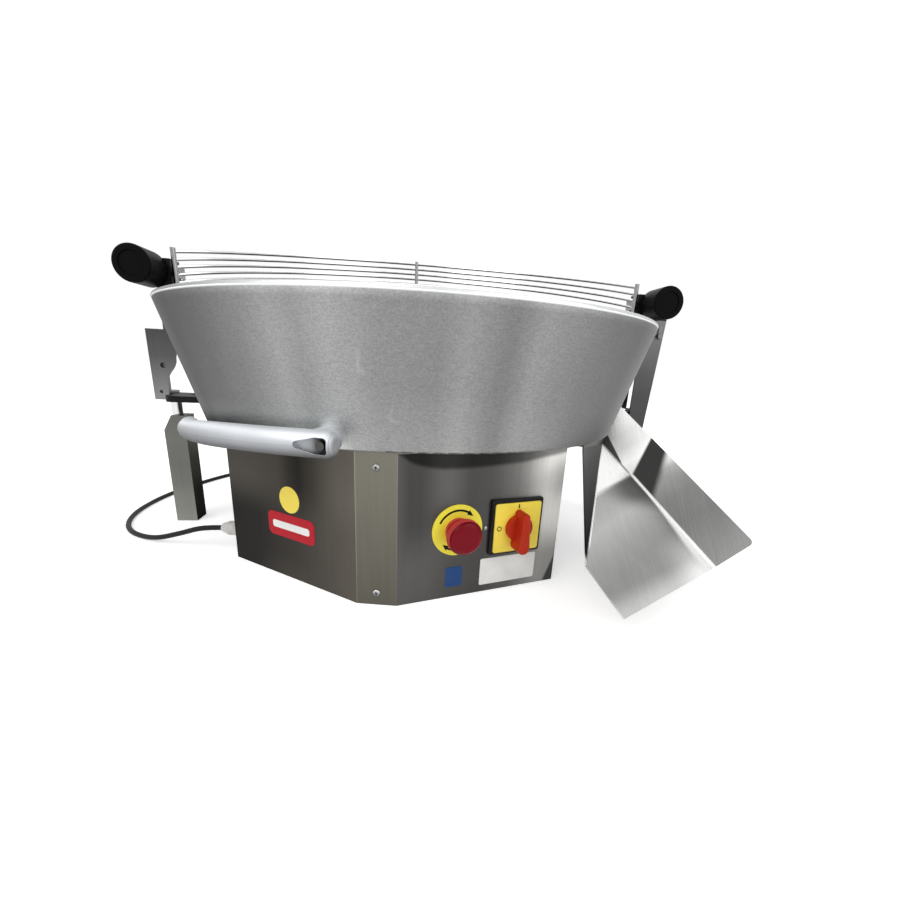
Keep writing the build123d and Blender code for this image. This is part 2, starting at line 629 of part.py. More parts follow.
def arm(side):
    """Flat black arm from the post to the bowl, with the upright's seat behind it."""
    x, y = column_spot(side)
    reach = hypot(x, y)
    web = Pos((reach + BOWL_BOTTOM_RADIUS) / 2, 0) * Rectangle(reach - BOWL_BOTTOM_RADIUS, ARM_WIDTH)
    plan = Rot(0, 0, degrees(atan2(y, x))) * web + Pos(x, y) * Circle(ARM_WIDTH / 2)
    inner, outer = COLUMN_X - ARM_WIDTH / 2, UPRIGHT_OUTER_X
    plan += Pos(side * (inner + outer) / 2, (UPRIGHT_THICKNESS + ARM_BACK_Y) / 2) * Rectangle(
        outer - inner, ARM_BACK_Y - UPRIGHT_THICKNESS)
    if y < 0:
        plan += Pos(x, (y + ARM_BACK_Y) / 2) * Rectangle(ARM_WIDTH, ARM_BACK_Y - y)
    return turned(Pos(0, 0, ARM_Z) * extrude(plan, ARM_THICKNESS)) - bowl_space()


def upright_bracket(side):
    """Angle that bolts the upright's back to the arm."""
    thick = UPRIGHT_THICKNESS
    part = block(UPRIGHT_FOOT_X, UPRIGHT_OUTER_X, thick, 2 * thick, ARM_TOP_Z, ARM_TOP_Z + BRACKET_HEIGHT)
    part += block(UPRIGHT_FOOT_X, UPRIGHT_OUTER_X, thick, ARM_BACK_Y, ARM_TOP_Z, ARM_TOP_Z + thick)
    return turned(part if side > 0 else mirrored(part))


def upright_plate(outline):
    """A plate with its knob head and the ear that carries the guard's pin, for the right side."""
    thick = UPRIGHT_THICKNESS
    head = Pos(KNOB_X, PIVOT_Z) * Circle(HEAD_RADIUS) + Pos((EAR_X + KNOB_X) / 2, PIVOT_Z) * Rectangle(
        KNOB_X - EAR_X, 2 * EAR_HALF_HEIGHT)
    hole = Pos(KNOB_X, PIVOT_Z) * Circle(KNOB_BOLT_RADIUS + RUNNING_FIT)
    plate = extrude(Plane.XZ.offset(-thick) * (outline + head - hole), thick)
    ear = block(EAR_X, EAR_X + thick, 0, PIVOT_Y + EAR_EDGE, PIVOT_Z - EAR_HALF_HEIGHT, PIVOT_Z + EAR_HALF_HEIGHT)
    return plate + ear - rod((EAR_X, PIVOT_Y, PIVOT_Z), (EAR_X + thick, PIVOT_Y, PIVOT_Z), PIVOT_RADIUS + RUNNING_FIT)


def right_upright():
    low, high = COLUMN_TOP_Z + BODY_GAP, UPRIGHT_TOP_Z
    inner, outer = UPRIGHT_OUTER_X - RIGHT_UPRIGHT_WIDTH, UPRIGHT_OUTER_X
    outline = make_face(Polyline((inner, low), (outer, low), (outer + RIGHT_UPRIGHT_LEAN, high), (inner, high),
                                 close=True))
    return turned(upright_plate(outline))


def left_upright():
    """The left plate: narrow foot, curved inner edge, shoulder and neck, with two holes."""
    low, high, shoulder = ARM_Z, UPRIGHT_TOP_Z, BOWL_TOP_Z - SHOULDER_BELOW_RIM
    start, end = low + UPRIGHT_CURVE_LOW, low + UPRIGHT_CURVE_HIGH
    middle = (start + end) / 2
    inner, outer, foot, neck = UPRIGHT_INNER_X, UPRIGHT_OUTER_X, UPRIGHT_FOOT_X, UPRIGHT_OUTER_X - UPRIGHT_NECK
    curve = Bezier((foot, start), (foot, middle), (inner, middle), (inner, end))
    edge = Polyline((inner, end), (EAR_X, shoulder), (EAR_X, high), (neck, high), (neck, shoulder),
                    (outer, shoulder), (outer, low), (foot, low), (foot, start))
    outline = make_face([curve, edge])
    outline -= Pos((inner + outer) / 2, low + UPRIGHT_HOLE_UP) * Circle(UPRIGHT_HOLE_RADIUS)
    outline -= Pos((foot + outer) / 2, low + UPRIGHT_PIN_HOLE_UP) * Circle(UPRIGHT_PIN_HOLE_RADIUS)
    return turned(mirrored(upright_plate(outline)))


def clip(side):
    """Small strip and nut on the upright's face, under the knob."""
    middle = UPRIGHT_OUTER_X if side > 0 else (EAR_X + UPRIGHT_OUTER_X - UPRIGHT_NECK) / 2
    high, half = PIVOT_Z - KNOB_RADIUS - CLIP_BELOW_KNOB, CLIP_WIDTH / 2
    low = high - CLIP_HEIGHT
    part = block(middle - half, middle + half, -CLIP_THICKNESS, 0, low, high)
    nut = Plane(origin=(middle, -CLIP_THICKNESS, low + half), z_dir=(0, -1, 0)) * RegularPolygon(CLIP_NUT_RADIUS, 6)
    part += extrude(nut, CLIP_NUT)
    return turned(part if side > 0 else mirrored(part))


def knob(side):
    """Round clamping knob with a dished face, on its bolt through the upright."""
    back, front = -BODY_GAP, -BODY_GAP - KNOB_LENGTH
    body = rod((KNOB_X, back, PIVOT_Z), (KNOB_X, front, PIVOT_Z), KNOB_RADIUS)
    ends = body.edges().filter_by(GeomType.CIRCLE).sort_by(Axis.Y)
    body = chamfer(fillet(ends[0], KNOB_ROUND).edges().sort_by(Axis.Y)[-1], KNOB_BEVEL)
    body -= rod((KNOB_X, front, PIVOT_Z), (KNOB_X, front + KNOB_RECESS, PIVOT_Z), KNOB_RECESS_RADIUS)
    body += rod((KNOB_X, back, PIVOT_Z), (KNOB_X, UPRIGHT_THICKNESS + KNOB_BOLT_END, PIVOT_Z), KNOB_BOLT_RADIUS)
    return turned(body if side > 0 else mirrored(body))


# Guard
def guard():
    """Bent wires round the back, a bar at each end and at the back, and the pivot lugs and pins."""
    wire = along(CenterArc((0, 0), GUARD_RADIUS, 0, 180), RegularPolygon(GUARD_WIRE / 2, WIRE_SIDES))
    pieces = [Pos(0, 0, GUARD_LOW_Z + i * GUARD_PITCH) * Rot(GUARD_TILT, 0, 0) * wire for i in range(GUARD_WIRES)]
    low, high = GUARD_LOW_Z - GUARD_WIRE, GUARD_LOW_Z + (GUARD_WIRES - 1) * GUARD_PITCH + GUARD_WIRE
    lift, back = GUARD_RADIUS * sin(radians(GUARD_TILT)), GUARD_RADIUS * cos(radians(GUARD_TILT))
    pieces.append(rod((0, back, low + lift), (0, back, high + lift), GUARD_BAR / 2))
    for side in (-1, 1):
        x, half = side * GUARD_RADIUS, GUARD_LUG / 2
        pieces.append(rod((x, 0, low), (x, 0, high), GUARD_BAR / 2))
        pieces.append(block(x - half, x + half, 0, PIVOT_Y + GUARD_LUG_HALF_HEIGHT, PIVOT_Z - GUARD_LUG_HALF_HEIGHT,
                            PIVOT_Z + GUARD_LUG_HALF_HEIGHT))
        pieces.append(rod((x, PIVOT_Y, PIVOT_Z), (side * (EAR_X + UPRIGHT_THICKNESS + HOLE_GAP), PIVOT_Y, PIVOT_Z),
                          PIVOT_RADIUS))
    first, *others = pieces
    return turned(first.fuse(*others))


# Braces
def brace_pocket():
    """The plane of the pocket's floor: x along the bowl, z outward."""
    depth = BOWL_BOTTOM_RADIUS + BRACE_REACH + BRACE_RADIUS - POCKET_DEPTH
    return Plane(origin=polar(depth, BRACE_AZIMUTH, BOWL_BOTTOM_Z + BRACE_LIFT),
                 x_dir=polar(1, BRACE_AZIMUTH + 90), z_dir=polar(1, BRACE_AZIMUTH))


def pocket_shape():
    """Outline of the brace's pocket: square with round corners at the bolt, narrow at its other end."""
    ends = Pos((POCKET_LENGTH - POCKET_WIDTH) / 2, 0) * RectangleRounded(POCKET_WIDTH, POCKET_WIDTH, POCKET_CORNER)
    ends += Pos((POCKET_POINT - POCKET_LENGTH) / 2, 0) * Circle(POCKET_POINT / 2)
    return make_hull(ends.edges())


def brace():
    """Cast bar from the front of the bowl to the left column's inner side, with a boss and a pocket for its bolt."""
    x, y = column_spot(-1)
    reach, z = BOWL_BOTTOM_RADIUS + BRACE_REACH, BOWL_BOTTOM_Z + BRACE_LIFT
    end_z = COLUMN_TOP_Z - BRACE_RADIUS * 1.2
    end = turned(Vertex(x + COLUMN_SIZE / 2, y, end_z)).center()
    swing = degrees(atan2(end.Y, end.X)) % 360 - 360 - BRACE_AZIMUTH
    drop = z - end_z
    start_azimuth = BRACE_AZIMUTH + degrees((BRACE_TIP - BRACE_NOSE) / reach)
    start = polar(reach, start_azimuth, z)
    second = polar(reach, BRACE_AZIMUTH + 0.12 * swing, z - 0.04 * drop)
    path, _ = round_path([start, second, polar(reach - 1, BRACE_AZIMUTH + 0.34 * swing, z - 0.17 * drop),
                          polar(reach - 6, BRACE_AZIMUTH + 0.64 * swing, z - 0.56 * drop), end])
    tip = start + (start - second).normalized() * BRACE_NOSE
    nose = rod(start, tip, BRACE_RADIUS)
    nose = fillet(nose.edges().filter_by(GeomType.CIRCLE).sort_by_distance(tip)[0], BRACE_NOSE_ROUND)
    bar = along(path, Circle(BRACE_RADIUS)) + nose
    bar += rod(polar(BOWL_BOTTOM_RADIUS - BOWL_WALL, BRACE_AZIMUTH, z), polar(reach, BRACE_AZIMUTH, z), BRACE_RADIUS)
    bar -= extrude(brace_pocket() * pocket_shape(), 2 * POCKET_DEPTH)
    return bar - bowl_space() - turned(column_block(-1, COLUMN_SIZE / 2, 0, COLUMN_TOP_Z + BRACE_RADIUS))


def brace_bolts():
    spot = brace_pocket() * Pos((POCKET_LENGTH - POCKET_WIDTH) / 2, 0)
    bolt = extrude(spot * Circle(BRACE_BOLT_RADIUS), BRACE_BOLT_HEAD)
    return [bolt, bolt.rotate(Axis.Z, 180)]


# Outlet hood and chute
def outlet_hood():
    """Black cheek beside the outlet, open below and towards the chute."""
    low, reach = BOWL_BOTTOM_Z + HOOD_LIFT, BOWL_TOP_RADIUS + HOOD_FROM_BOWL
    high = low + HOOD_HEIGHT
    outer = Plane.XZ * make_face(Polyline((0, low), (reach, low), (reach, high), (0, high), close=True))
    inside, roof = reach - HOOD_WALL, high - HOOD_WALL
    hollow = Plane.XZ * make_face(Polyline((0, 0), (inside, 0), (inside, roof), (0, roof), close=True))
    end_wall = degrees(HOOD_WALL / reach)
    part = revolve(outer, Axis.Z, HOOD_SPAN) - revolve(hollow, Axis.Z, HOOD_SPAN).rotate(Axis.Z, -end_wall)
    return part.rotate(Axis.Z, HOOD_START) - bowl_space()


def chute_points():
    """Corners of the chute's sheets, from the point where its crease meets the bowl."""
    heading, slope = radians(CHUTE_HEADING), radians(CHUTE_SLOPE)
    run = Vector(cos(heading) * cos(slope), sin(heading) * cos(slope), -sin(slope))
    across = Vector(-sin(heading), cos(heading), 0)
    up = run.cross(across)
    wall_tilt, floor_tilt = radians(CHUTE_WALL_TILT), radians(CHUTE_FLOOR_TILT)
    wall = (across * cos(wall_tilt) + up * sin(wall_tilt)) * CHUTE_WALL_WIDTH
    floor = up * sin(floor_tilt) - across * cos(floor_tilt)
    top = polar(BOWL_BOTTOM_RADIUS - CHUTE_INSIDE_BOWL, CHUTE_AZIMUTH, BOWL_BOTTOM_Z - CHUTE_UNDER_BOWL)
    end, behind = top + run * CHUTE_LENGTH, top - run * CHUTE_WALL_BEHIND
    floor_end = end + floor * CHUTE_FLOOR_WIDTH
    cheek = polar(BOWL_BOTTOM_RADIUS - CHUTE_CHEEK_INSIDE_BOWL, CHUTE_CHEEK_AZIMUTH,
                  BOWL_BOTTOM_Z - CHUTE_CHEEK_UNDER_BOWL)
    return dict(top=top, end=end, behind=behind, floor_end=floor_end, floor_side=floor_end - run * CHUTE_SIDE_EDGE,
                wall_end=end + wall, wall_behind=behind + wall, cheek=cheek)


def sheet(*points, rounded=None):
    """A flat sheet through its corners, one of which may be rounded."""
    face = Face(Wire.make_polygon(points, close=True))
    if rounded:
        face = face.fillet_2d(CHUTE_CORNER, face.vertices().sort_by_distance(rounded)[:1])
    return extrude(face, CHUTE_SHEET / 2, both=True)


def chute():
    """Floor, right wall and left cheek, trimmed to run close under the bowl and past the base."""
    p = chute_points()
    part = sheet(p["top"], p["end"], p["floor_end"], p["floor_side"])
    part += sheet(p["behind"], p["end"], p["wall_end"], p["wall_behind"], rounded=p["wall_end"])
    part += sheet(p["top"], p["floor_side"], p["cheek"])
    part -= Pos(0, 0, -CHUTE_GAP) * cone(lambda z: bowl_radius(z) + CHUTE_GAP, BOWL_BOTTOM_Z, BOWL_TOP_Z)
    part -= base_prism(-CHUTE_GAP, 0, BASE_HEIGHT)
    return part.solids().sort_by(SortBy.VOLUME)[-1]


def chute_bracket():
    """Hanger under the bowl: a bolted plate and a web down to the top edge of the chute's cheek."""
    p = chute_points()
    near, far = (Vector(v.X, v.Y, BOWL_BOTTOM_Z) for v in (p["cheek"], p["top"]))
    along_edge = (far - near).normalized()
    inward = Vector(-along_edge.Y, along_edge.X, 0) * HANGER_WIDTH
    plate = Face(Wire.make_polygon([near, far, far + inward, near + inward], close=True))
    part = extrude(plate, HANGER_PLATE, dir=(0, 0, -1)) + sheet(p["cheek"], p["top"], far, near)
    for share in (0.3, 0.7):
        spot = near + (far - near) * share + inward / 2 - Vector(0, 0, HANGER_PLATE)
        part += extrude(Plane(origin=spot, z_dir=(0, 0, -1)) * RegularPolygon(HANGER_BOLT_RADIUS, 6), HANGER_BOLT_HEAD)
    part -= chute() + base_prism(-CHUTE_GAP, 0, BASE_HEIGHT)
    return part.solids().sort_by(SortBy.VOLUME)[-1]


# Controls
def estop_plate(shape, out, depth):
    """A plane shape on the stop button's axis, that far off the panel, made that deep."""
    return extrude(panel_plane(ESTOP_ALONG, ESTOP_Z, out) * shape, depth)


def switch_piece(shape, out, depth):
    """A plane shape on the switch's axis, that far off the panel, made that deep."""
    return extrude(panel_plane(SWITCH_ALONG, SWITCH_Z, out) * shape, depth)


def front_face(solid, plane):
    return solid.faces().sort_by_distance(plane.origin)[0]


def estop_legend():
    return estop_plate(Circle(ESTOP_DISC_RADIUS) - Circle(ESTOP_SLEEVE_RADIUS + BODY_GAP), 0, ESTOP_DISC)


def estop_collar():
    """Front ring, threaded sleeve through the panel and the nut behind it."""
    hole = Circle(ESTOP_STEM_RADIUS)
    part = estop_plate(Circle(ESTOP_COLLAR_RADIUS) - hole, ESTOP_DISC, ESTOP_COLLAR)
    part += estop_plate(Circle(ESTOP_SLEEVE_RADIUS) - hole, -ESTOP_SLEEVE_DEPTH, ESTOP_SLEEVE_DEPTH + ESTOP_COLLAR)
    return part + estop_plate(Circle(ESTOP_NUT_RADIUS) - hole, -SHEET - ESTOP_NUT, ESTOP_NUT)


def estop_plunger():
    inner = ESTOP_SLEEVE_DEPTH - ESTOP_TRAVEL - BODY_GAP
    return estop_plate(Circle(ESTOP_STEM_RADIUS - BODY_GAP), -inner, inner + ESTOP_STAND - BODY_GAP)


def estop_head():
    """Mushroom head: a flared underside and a rounded crown."""
    rim, flare = ESTOP_STAND + ESTOP_HEAD_FLARE, ESTOP_HEAD_FLARE
    crown = estop_plate(Circle(ESTOP_HEAD_RADIUS), rim, ESTOP_HEAD_CROWN)
    face = front_face(crown, panel_plane(ESTOP_ALONG, ESTOP_Z, rim + ESTOP_HEAD_CROWN))
    underside = panel_plane(ESTOP_ALONG, ESTOP_Z, rim - flare / 2).location * Cone(
        ESTOP_HEAD_FOOT_RADIUS, ESTOP_HEAD_RADIUS, flare)
    return fillet(face.edges(), ESTOP_HEAD_ROUND) + underside


def estop_contacts():
    return estop_plate(RectangleRounded(CONTACTS_SIZE, CONTACTS_SIZE, SWITCH_CORNER), -ESTOP_SLEEVE_DEPTH,
                       -CONTACTS_DEPTH)


def switch_frame():
    part = switch_piece(RectangleRounded(SWITCH_FRAME, SWITCH_FRAME, SWITCH_CORNER), 0, SWITCH_FRAME_DEPTH)
    face = front_face(part, panel_plane(SWITCH_ALONG, SWITCH_Z, SWITCH_FRAME_DEPTH))
    return chamfer(face.edges(), SWITCH_FRAME_BEVEL) - switch_piece(Circle(SWITCH_EYE_RADIUS), 0, SWITCH_FRAME_DEPTH)


def switch_plate():
    shape = RectangleRounded(SWITCH_PLATE, SWITCH_PLATE, SWITCH_CORNER) - Circle(SWITCH_EYE_RADIUS)
    return switch_piece(shape, SWITCH_FRAME_DEPTH, SWITCH_PLATE_DEPTH)


def switch_handle():
    """Round boss with a grip that narrows to its pointer, on the shaft that goes through the panel."""
    foot, inner = SWITCH_FACE + BODY_GAP, SHEET + SWITCH_SHAFT_END
    ends = Pos(0, SWITCH_HANDLE_UP - SWITCH_HANDLE_POINT / 2) * Circle(SWITCH_HANDLE_POINT / 2)
    ends += Pos(0, SWITCH_HANDLE_WIDTH / 2 - SWITCH_HANDLE_DOWN) * Circle(SWITCH_HANDLE_WIDTH / 2)
    grip = switch_piece(make_hull(ends.edges()), foot, SWITCH_HANDLE_DEPTH)
    face = front_face(grip, panel_plane(SWITCH_ALONG, SWITCH_Z, foot + SWITCH_HANDLE_DEPTH))
    part = fillet(face.edges(), SWITCH_HANDLE_ROUND) + switch_piece(Circle(SWITCH_BOSS_RADIUS), foot, SWITCH_BOSS)
    return part + switch_piece(Circle(SWITCH_SHAFT_RADIUS), -inner, inner + foot)


def switch_body():
    part = switch_piece(RectangleRounded(SWITCH_BODY, SWITCH_BODY, SWITCH_CORNER), -SHEET, -SWITCH_BODY_DEPTH)
    return part - switch_piece(Circle(SWITCH_SHAFT_RADIUS + RUNNING_FIT), -SHEET, -SWITCH_SHAFT_END - HOLE_GAP)


def panel_screws():
    strip = Plane(origin=(0, -BASE_HALF_DEPTH, 0), x_dir=(1, 0, 0), z_dir=(0, -1, 0))
    heads = [extrude(strip * Pos(0, z) * Circle(SCREW_RADIUS), SCREW_HEAD) for z in (SCREW_LOW_Z, SCREW_HIGH_Z)]
    beside_switch = SWITCH_ALONG - SWITCH_FRAME / 2 - SCREW_RADIUS
    heads.append(extrude(panel_plane(beside_switch, SWITCH_Z) * Circle(SMALL_SCREW_RADIUS), SCREW_HEAD))
    return heads


# Cord
def cord_gland():
    """Hexagon, threaded sleeve, domed cap and the nut inside the panel."""
    def outward(x):
        return Plane(origin=(x, GLAND_Y, GLAND_Z), z_dir=(-1, 0, 0))

    cap = Polyline((0, 0), (GLAND_CAP_RADIUS, 0), (GLAND_CAP_RADIUS, GLAND_CAP_STRAIGHT),
                   (GLAND_CAP_MOUTH, GLAND_CAP), (0, GLAND_CAP), close=True)
    part = extrude(outward(-SIDE_X) * RegularPolygon(GLAND_HEX_RADIUS, 6), GLAND_HEX)
    part += extrude(outward(SHEET + GLAND_NUT - SIDE_X) * RegularPolygon(GLAND_NUT_RADIUS, 6), GLAND_NUT)
    part += extrude(outward(SHEET + GLAND_NUT - SIDE_X) * Circle(GLAND_THREAD_RADIUS), SHEET + GLAND_NUT)
    part += outward(-SIDE_X - GLAND_HEX).location * turning(cap)
    return part - extrude(outward(THROUGH - SIDE_X) * Circle(CORD_DIAMETER / 2 + RUNNING_FIT), 3 * THROUGH)


def cord_route():
    """Hand-chosen points from the gland, down to the table, round the column and back to the coil."""
    z, y_coil = CORD_LAY_Z, COIL_Y + COIL_DIAMETER / 2
    return [(-SIDE_X - 2, GLAND_Y, GLAND_Z), (-SIDE_X - 50, GLAND_Y, GLAND_Z), (-298, -178, 18), (-345, -172, z),
            (-400, -150, z), (-440, -92, z), (-456, -12, z), (-450, 72, z), (-430, 150, z), (-394, 224, z),
            (-340, 280, z), (COIL_X - 72, y_coil - 4, z), (COIL_X - 24, y_coil, z), (COIL_X - CORD_GAP, y_coil, z)]


def tail_route():
    """From the top of the coil down to the plug behind it."""
    z, y = CORD_LAY_Z + COIL_TURNS * (CORD_DIAMETER + COIL_SPACE), COIL_Y + COIL_DIAMETER / 2
    plug_z = PLUG_RADIUS + TABLE_GAP
    return [(COIL_X, y, z), (COIL_X + 36, y, z), (COIL_X + 74, y + 1, 25), (COIL_X + 108, y, plug_z),
            (COIL_X + 132, y, plug_z)]


def cord_tube(path):
    return along(path, RegularPolygon(CORD_DIAMETER / 2, WIRE_SIDES))


def coil_path():
    """Half turns, each tilted a little, that climb one cord and a space per turn."""
    radius, rise = COIL_DIAMETER / 2, (CORD_DIAMETER + COIL_SPACE) / 2
    arcs = []
    for i in range(2 * COIL_TURNS):
        side = 1 if i % 2 == 0 else -1
        z = CORD_LAY_Z + i * rise
        arcs.append(ThreePointArc((COIL_X, COIL_Y + side * radius, z), (COIL_X + side * radius, COIL_Y, z + rise / 2),
                                  (COIL_X, COIL_Y - side * radius, z + rise)))
    return arcs


def coil_tie():
    """Band round the coil's turns, on the side away from the plug."""
    turn, half = CORD_DIAMETER + COIL_SPACE, CORD_DIAMETER / 2 + TIE_GAP
    low = CORD_LAY_Z + 0.75 * turn - half
    high = CORD_LAY_Z + (COIL_TURNS - 0.25) * turn + half
    x, band, width = COIL_X - COIL_DIAMETER / 2, half + TIE_BAND, TIE_WIDTH / 2
    return block(x - band, x + band, COIL_Y - width, COIL_Y + width, low - TIE_BAND, high + TIE_BAND) - block(
        x - half, x + half, COIL_Y - width, COIL_Y + width, low, high)


def plug():
    """Sleeve and round body on the cord's end, with two pins."""
    x, y, z = tail_route()[-1]
    bore, end = CORD_DIAMETER / 2, PLUG_SLEEVE + PLUG_LENGTH
    floor = PLUG_BORE + BODY_GAP
    part = turning(Polyline((bore, 0), (bore + PLUG_SLEEVE_EDGE, 0), (PLUG_SLEEVE_RADIUS, PLUG_SLEEVE * 0.75),
                            (PLUG_RADIUS, PLUG_SLEEVE), (PLUG_RADIUS, end), (0, end), (0, floor),
                            (bore, floor), close=True))
    for side in (-1, 1):
        part += Pos(0, side * PLUG_PIN_SPACING / 2, end) * extrude(Circle(PLUG_PIN_RADIUS), PLUG_PIN_LENGTH)
    return Plane(origin=(x - PLUG_BORE, y, z), x_dir=(0, 1, 0), z_dir=(1, 0, 0)).location * part


def least_coil_gap(path):
    """The smallest distance between neighbouring turns, less the cord itself."""
    steps = 48
    points = [path @ (i / (steps * COIL_TURNS)) for i in range(steps * COIL_TURNS + 1)]
    near = min((a - b).length for i, a in enumerate(points) for b in points[i + steps // 2:])
    return near - CORD_DIAMETER


def cord_pieces():
    lead, lead_radii = round_path(cord_route())
    tail, tail_radii = round_path(tail_route())
    turns = coil_path()
    coil = Wire(turns + tail.edges())
    print("cord bend radii", [round(r) for r in lead_radii + tail_radii])
    print("cord length", round(lead.length + coil.length), "least coil gap", round(least_coil_gap(Wire(turns)), 2))
    return {"cord_gland": cord_gland(), "mains_cord": cord_tube(lead), "cord_coil": cord_tube(coil),
            "coil_tie": coil_tie(), "mains_plug": plug()}


def stand_pieces():
    front = brace()
    pieces = {"left_upright": left_upright(), "right_upright": right_upright(), "guard": guard(),
              "front_brace": front, "rear_brace": front.rotate(Axis.Z, 180), "brace_bolts": brace_bolts()}
    for name, side in (("left", -1), ("right", 1)):
        pieces[f"{name}_column"] = turned(column(side))
        pieces[f"{name}_column_foot"] = turned(column_foot(side))
        pieces[f"{name}_post"] = turned(post(side))
        pieces[f"{name}_arm"] = arm(side)
        pieces[f"{name}_upright_bracket"] = upright_bracket(side)
        pieces[f"{name}_clip"] = clip(side)
        pieces[f"{name}_knob"] = knob(side)
    return pieces


def parts():
    return {
        "base_pan": base_pan(), "base_frame": base_frame(), "left_panel": left_panel(),
        "control_panel": control_panel(), "front_strip": front_strip(), "rear_cover": rear_cover(),
        "deck_plate": deck_plate(), "bearing_housing": bearing_housing(), "lower_bearing": bearing(GEARBOX_TOP_Z),
        "upper_bearing": bearing(GEARBOX_TOP_Z + BEARING_HEIGHT), "shaft_seal": shaft_seal(),
        "drive_shaft": drive_shaft(), "gearbox": gearbox(), "motor_body": motor_body(), "motor_rotor": motor_rotor(),
        "fan_cover": fan_cover(), "contactor": contactor(), "bowl": bowl(), "rounding_drum": rounding_drum(),
        "spiral_flight": spiral_flight(), "drum_knob": drum_knob(), "outlet_hood": outlet_hood(), "chute": chute(),
        "chute_bracket": chute_bracket(), "estop_legend": estop_legend(), "estop_collar": estop_collar(),
        "estop_plunger": estop_plunger(), "estop_head": estop_head(), "estop_contacts": estop_contacts(),
        "switch_frame": switch_frame(), "switch_plate": switch_plate(), "switch_handle": switch_handle(),
        "switch_body": switch_body(), "panel_screws": panel_screws(),
        **stand_pieces(), **cord_pieces(),
    }


if __name__ == "__main__":
    os.makedirs("parts", exist_ok=True)
    for name, shape in parts().items():
        solids = Compound(shape) if isinstance(shape, list) else shape
        export_step(solids, f"parts/{name}.step")
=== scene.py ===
"""Finishes, cord, marks and stage for the bench dough rounder."""

import json
from math import cos, pi, radians, sin, tau

import bmesh
import bpy
from mathutils import Matrix, Vector


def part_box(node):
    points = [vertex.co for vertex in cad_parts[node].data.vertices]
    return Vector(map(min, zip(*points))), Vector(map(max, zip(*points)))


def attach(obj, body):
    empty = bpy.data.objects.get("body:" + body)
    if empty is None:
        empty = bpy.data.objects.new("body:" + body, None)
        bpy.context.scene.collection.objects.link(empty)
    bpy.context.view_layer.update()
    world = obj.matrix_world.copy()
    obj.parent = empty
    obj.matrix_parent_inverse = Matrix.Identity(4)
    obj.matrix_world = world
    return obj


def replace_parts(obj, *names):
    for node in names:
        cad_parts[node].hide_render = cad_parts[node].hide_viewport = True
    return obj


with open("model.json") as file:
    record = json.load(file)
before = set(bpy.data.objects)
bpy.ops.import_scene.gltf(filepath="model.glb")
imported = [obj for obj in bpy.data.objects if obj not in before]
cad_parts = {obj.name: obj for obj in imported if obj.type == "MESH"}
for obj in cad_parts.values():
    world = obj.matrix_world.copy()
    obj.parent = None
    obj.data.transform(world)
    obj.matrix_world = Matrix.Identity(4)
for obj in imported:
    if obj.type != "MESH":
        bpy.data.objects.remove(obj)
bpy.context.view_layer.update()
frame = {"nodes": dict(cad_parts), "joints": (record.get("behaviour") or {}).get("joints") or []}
NODES = frame["nodes"]
JOINTS = {joint["name"]: joint for joint in frame["joints"]}
UP = Vector((0, 0, 1))

bl_info = {
    "name": "Dough rounder finish",
    "version": (1, 0, 0),
    "blender": (4, 5, 0),
    "location": "3D View > Sidebar > Rounder",
    "description": "Finishes, cord, marks and stage for the bench dough rounder",
    "category": "Object",
}

# Camera, fitted to the photograph
CAMERA_SPOT = (0.096774, -0.683941, 0.263493)
CAMERA_RIGHT = (0.997280, 0.054053, 0.050111)
CAMERA_DOWN = (0.063240, -0.278252, -0.958424)
CAMERA_FORWARD = (-0.037862, 0.958986, -0.280914)
CAMERA_LENS = 16.6036
CAMERA_SHIFT = (-0.006458, 0.036547)
CAMERA_SENSOR = 36
CAMERA_NEAR = 0.01

# Lamps as (name, spot, width, power), the spot they point at, and the light of the surroundings and the floor
LAMPS = (
    ("key_lamp", (-1.1, -1.7, 2.2), 1.8, 26),
    ("fill_lamp", (1.9, -1.2, 1.5), 1.6, 12),
    ("back_lamp", (0.2, 1.9, 2.3), 2.0, 14),
)
LAMP_TARGET = Vector((0, 0, 0.2))
SURROUNDINGS_LIGHT = 0.62
FLOOR_LIGHT = 0.5
FLOOR_THICKNESS = 0.01

# Bowl's rolled edge, a ring painted bright as a highlight
RIM_WIDTH = 0.00624
RIM_PROUD = 0.00016
RIM_STEPS = 16

# Base: the width of each slanted panel, and the lower edge of the bowl's painted shadow on the control panel,
# as (share of that width, share of the painted shadow's depth)
PANEL_WIDTH = 0.204
PAINTED_SHADOW_EDGE = (
    (0.0, 1.0), (0.012, 0.93), (0.061, 0.585), (0.096, 0.41), (0.166, 0.22), (0.24, 0.11), (0.332, 0.085),
    (0.469, 0.12), (0.585, 0.185), (0.716, 0.275), (0.851, 0.51), (1.0, 0.76))
PAINTED_SHADOW_DEPTH = 0.02
PAINTED_SHADOW_FOOT = 0.153

# Screw heads: a profile of (radius, height), places on the strip and the panel, and the cross recess, a dark
# plate of painted shade
SCREW_PROFILE = (
    (0.004, 0.0), (0.004, 0.0005), (0.0036, 0.0011), (0.0027, 0.0015), (0.0012, 0.0016), (0.0, 0.0016))
SCREW_HEIGHTS = (0.0145, 0.157)
SMALL_SCREW_SPOT = (0.104, 0.0815)
SMALL_SCREW_SHARE = 0.62
RECESS_REACH = 0.0021
RECESS_WIDTH = 0.0009
RECESS_SINK = 0.0002
RECESS_THICKNESS = 0.0003
RECESS_TURN = 0.4

# Stickers: (width, height, corner) or a radius, and places as (along the panel, height)
RATING_STICKER = (0.075, 0.034, 0.002)
RATING_SPOT = (0.1375, 0.026)
SMALL_STICKER = (0.0205, 0.025, 0.002)
SMALL_SPOT = (0.067, 0.0255)
ROUND_STICKER = 0.016
ROUND_SPOT = (0.106, 0.101)
RED_STICKER = (0.076, 0.030, 0.007)
RED_FIELD = (0.060, 0.009, 0.003)
RED_SPOT = (0.106, 0.067)

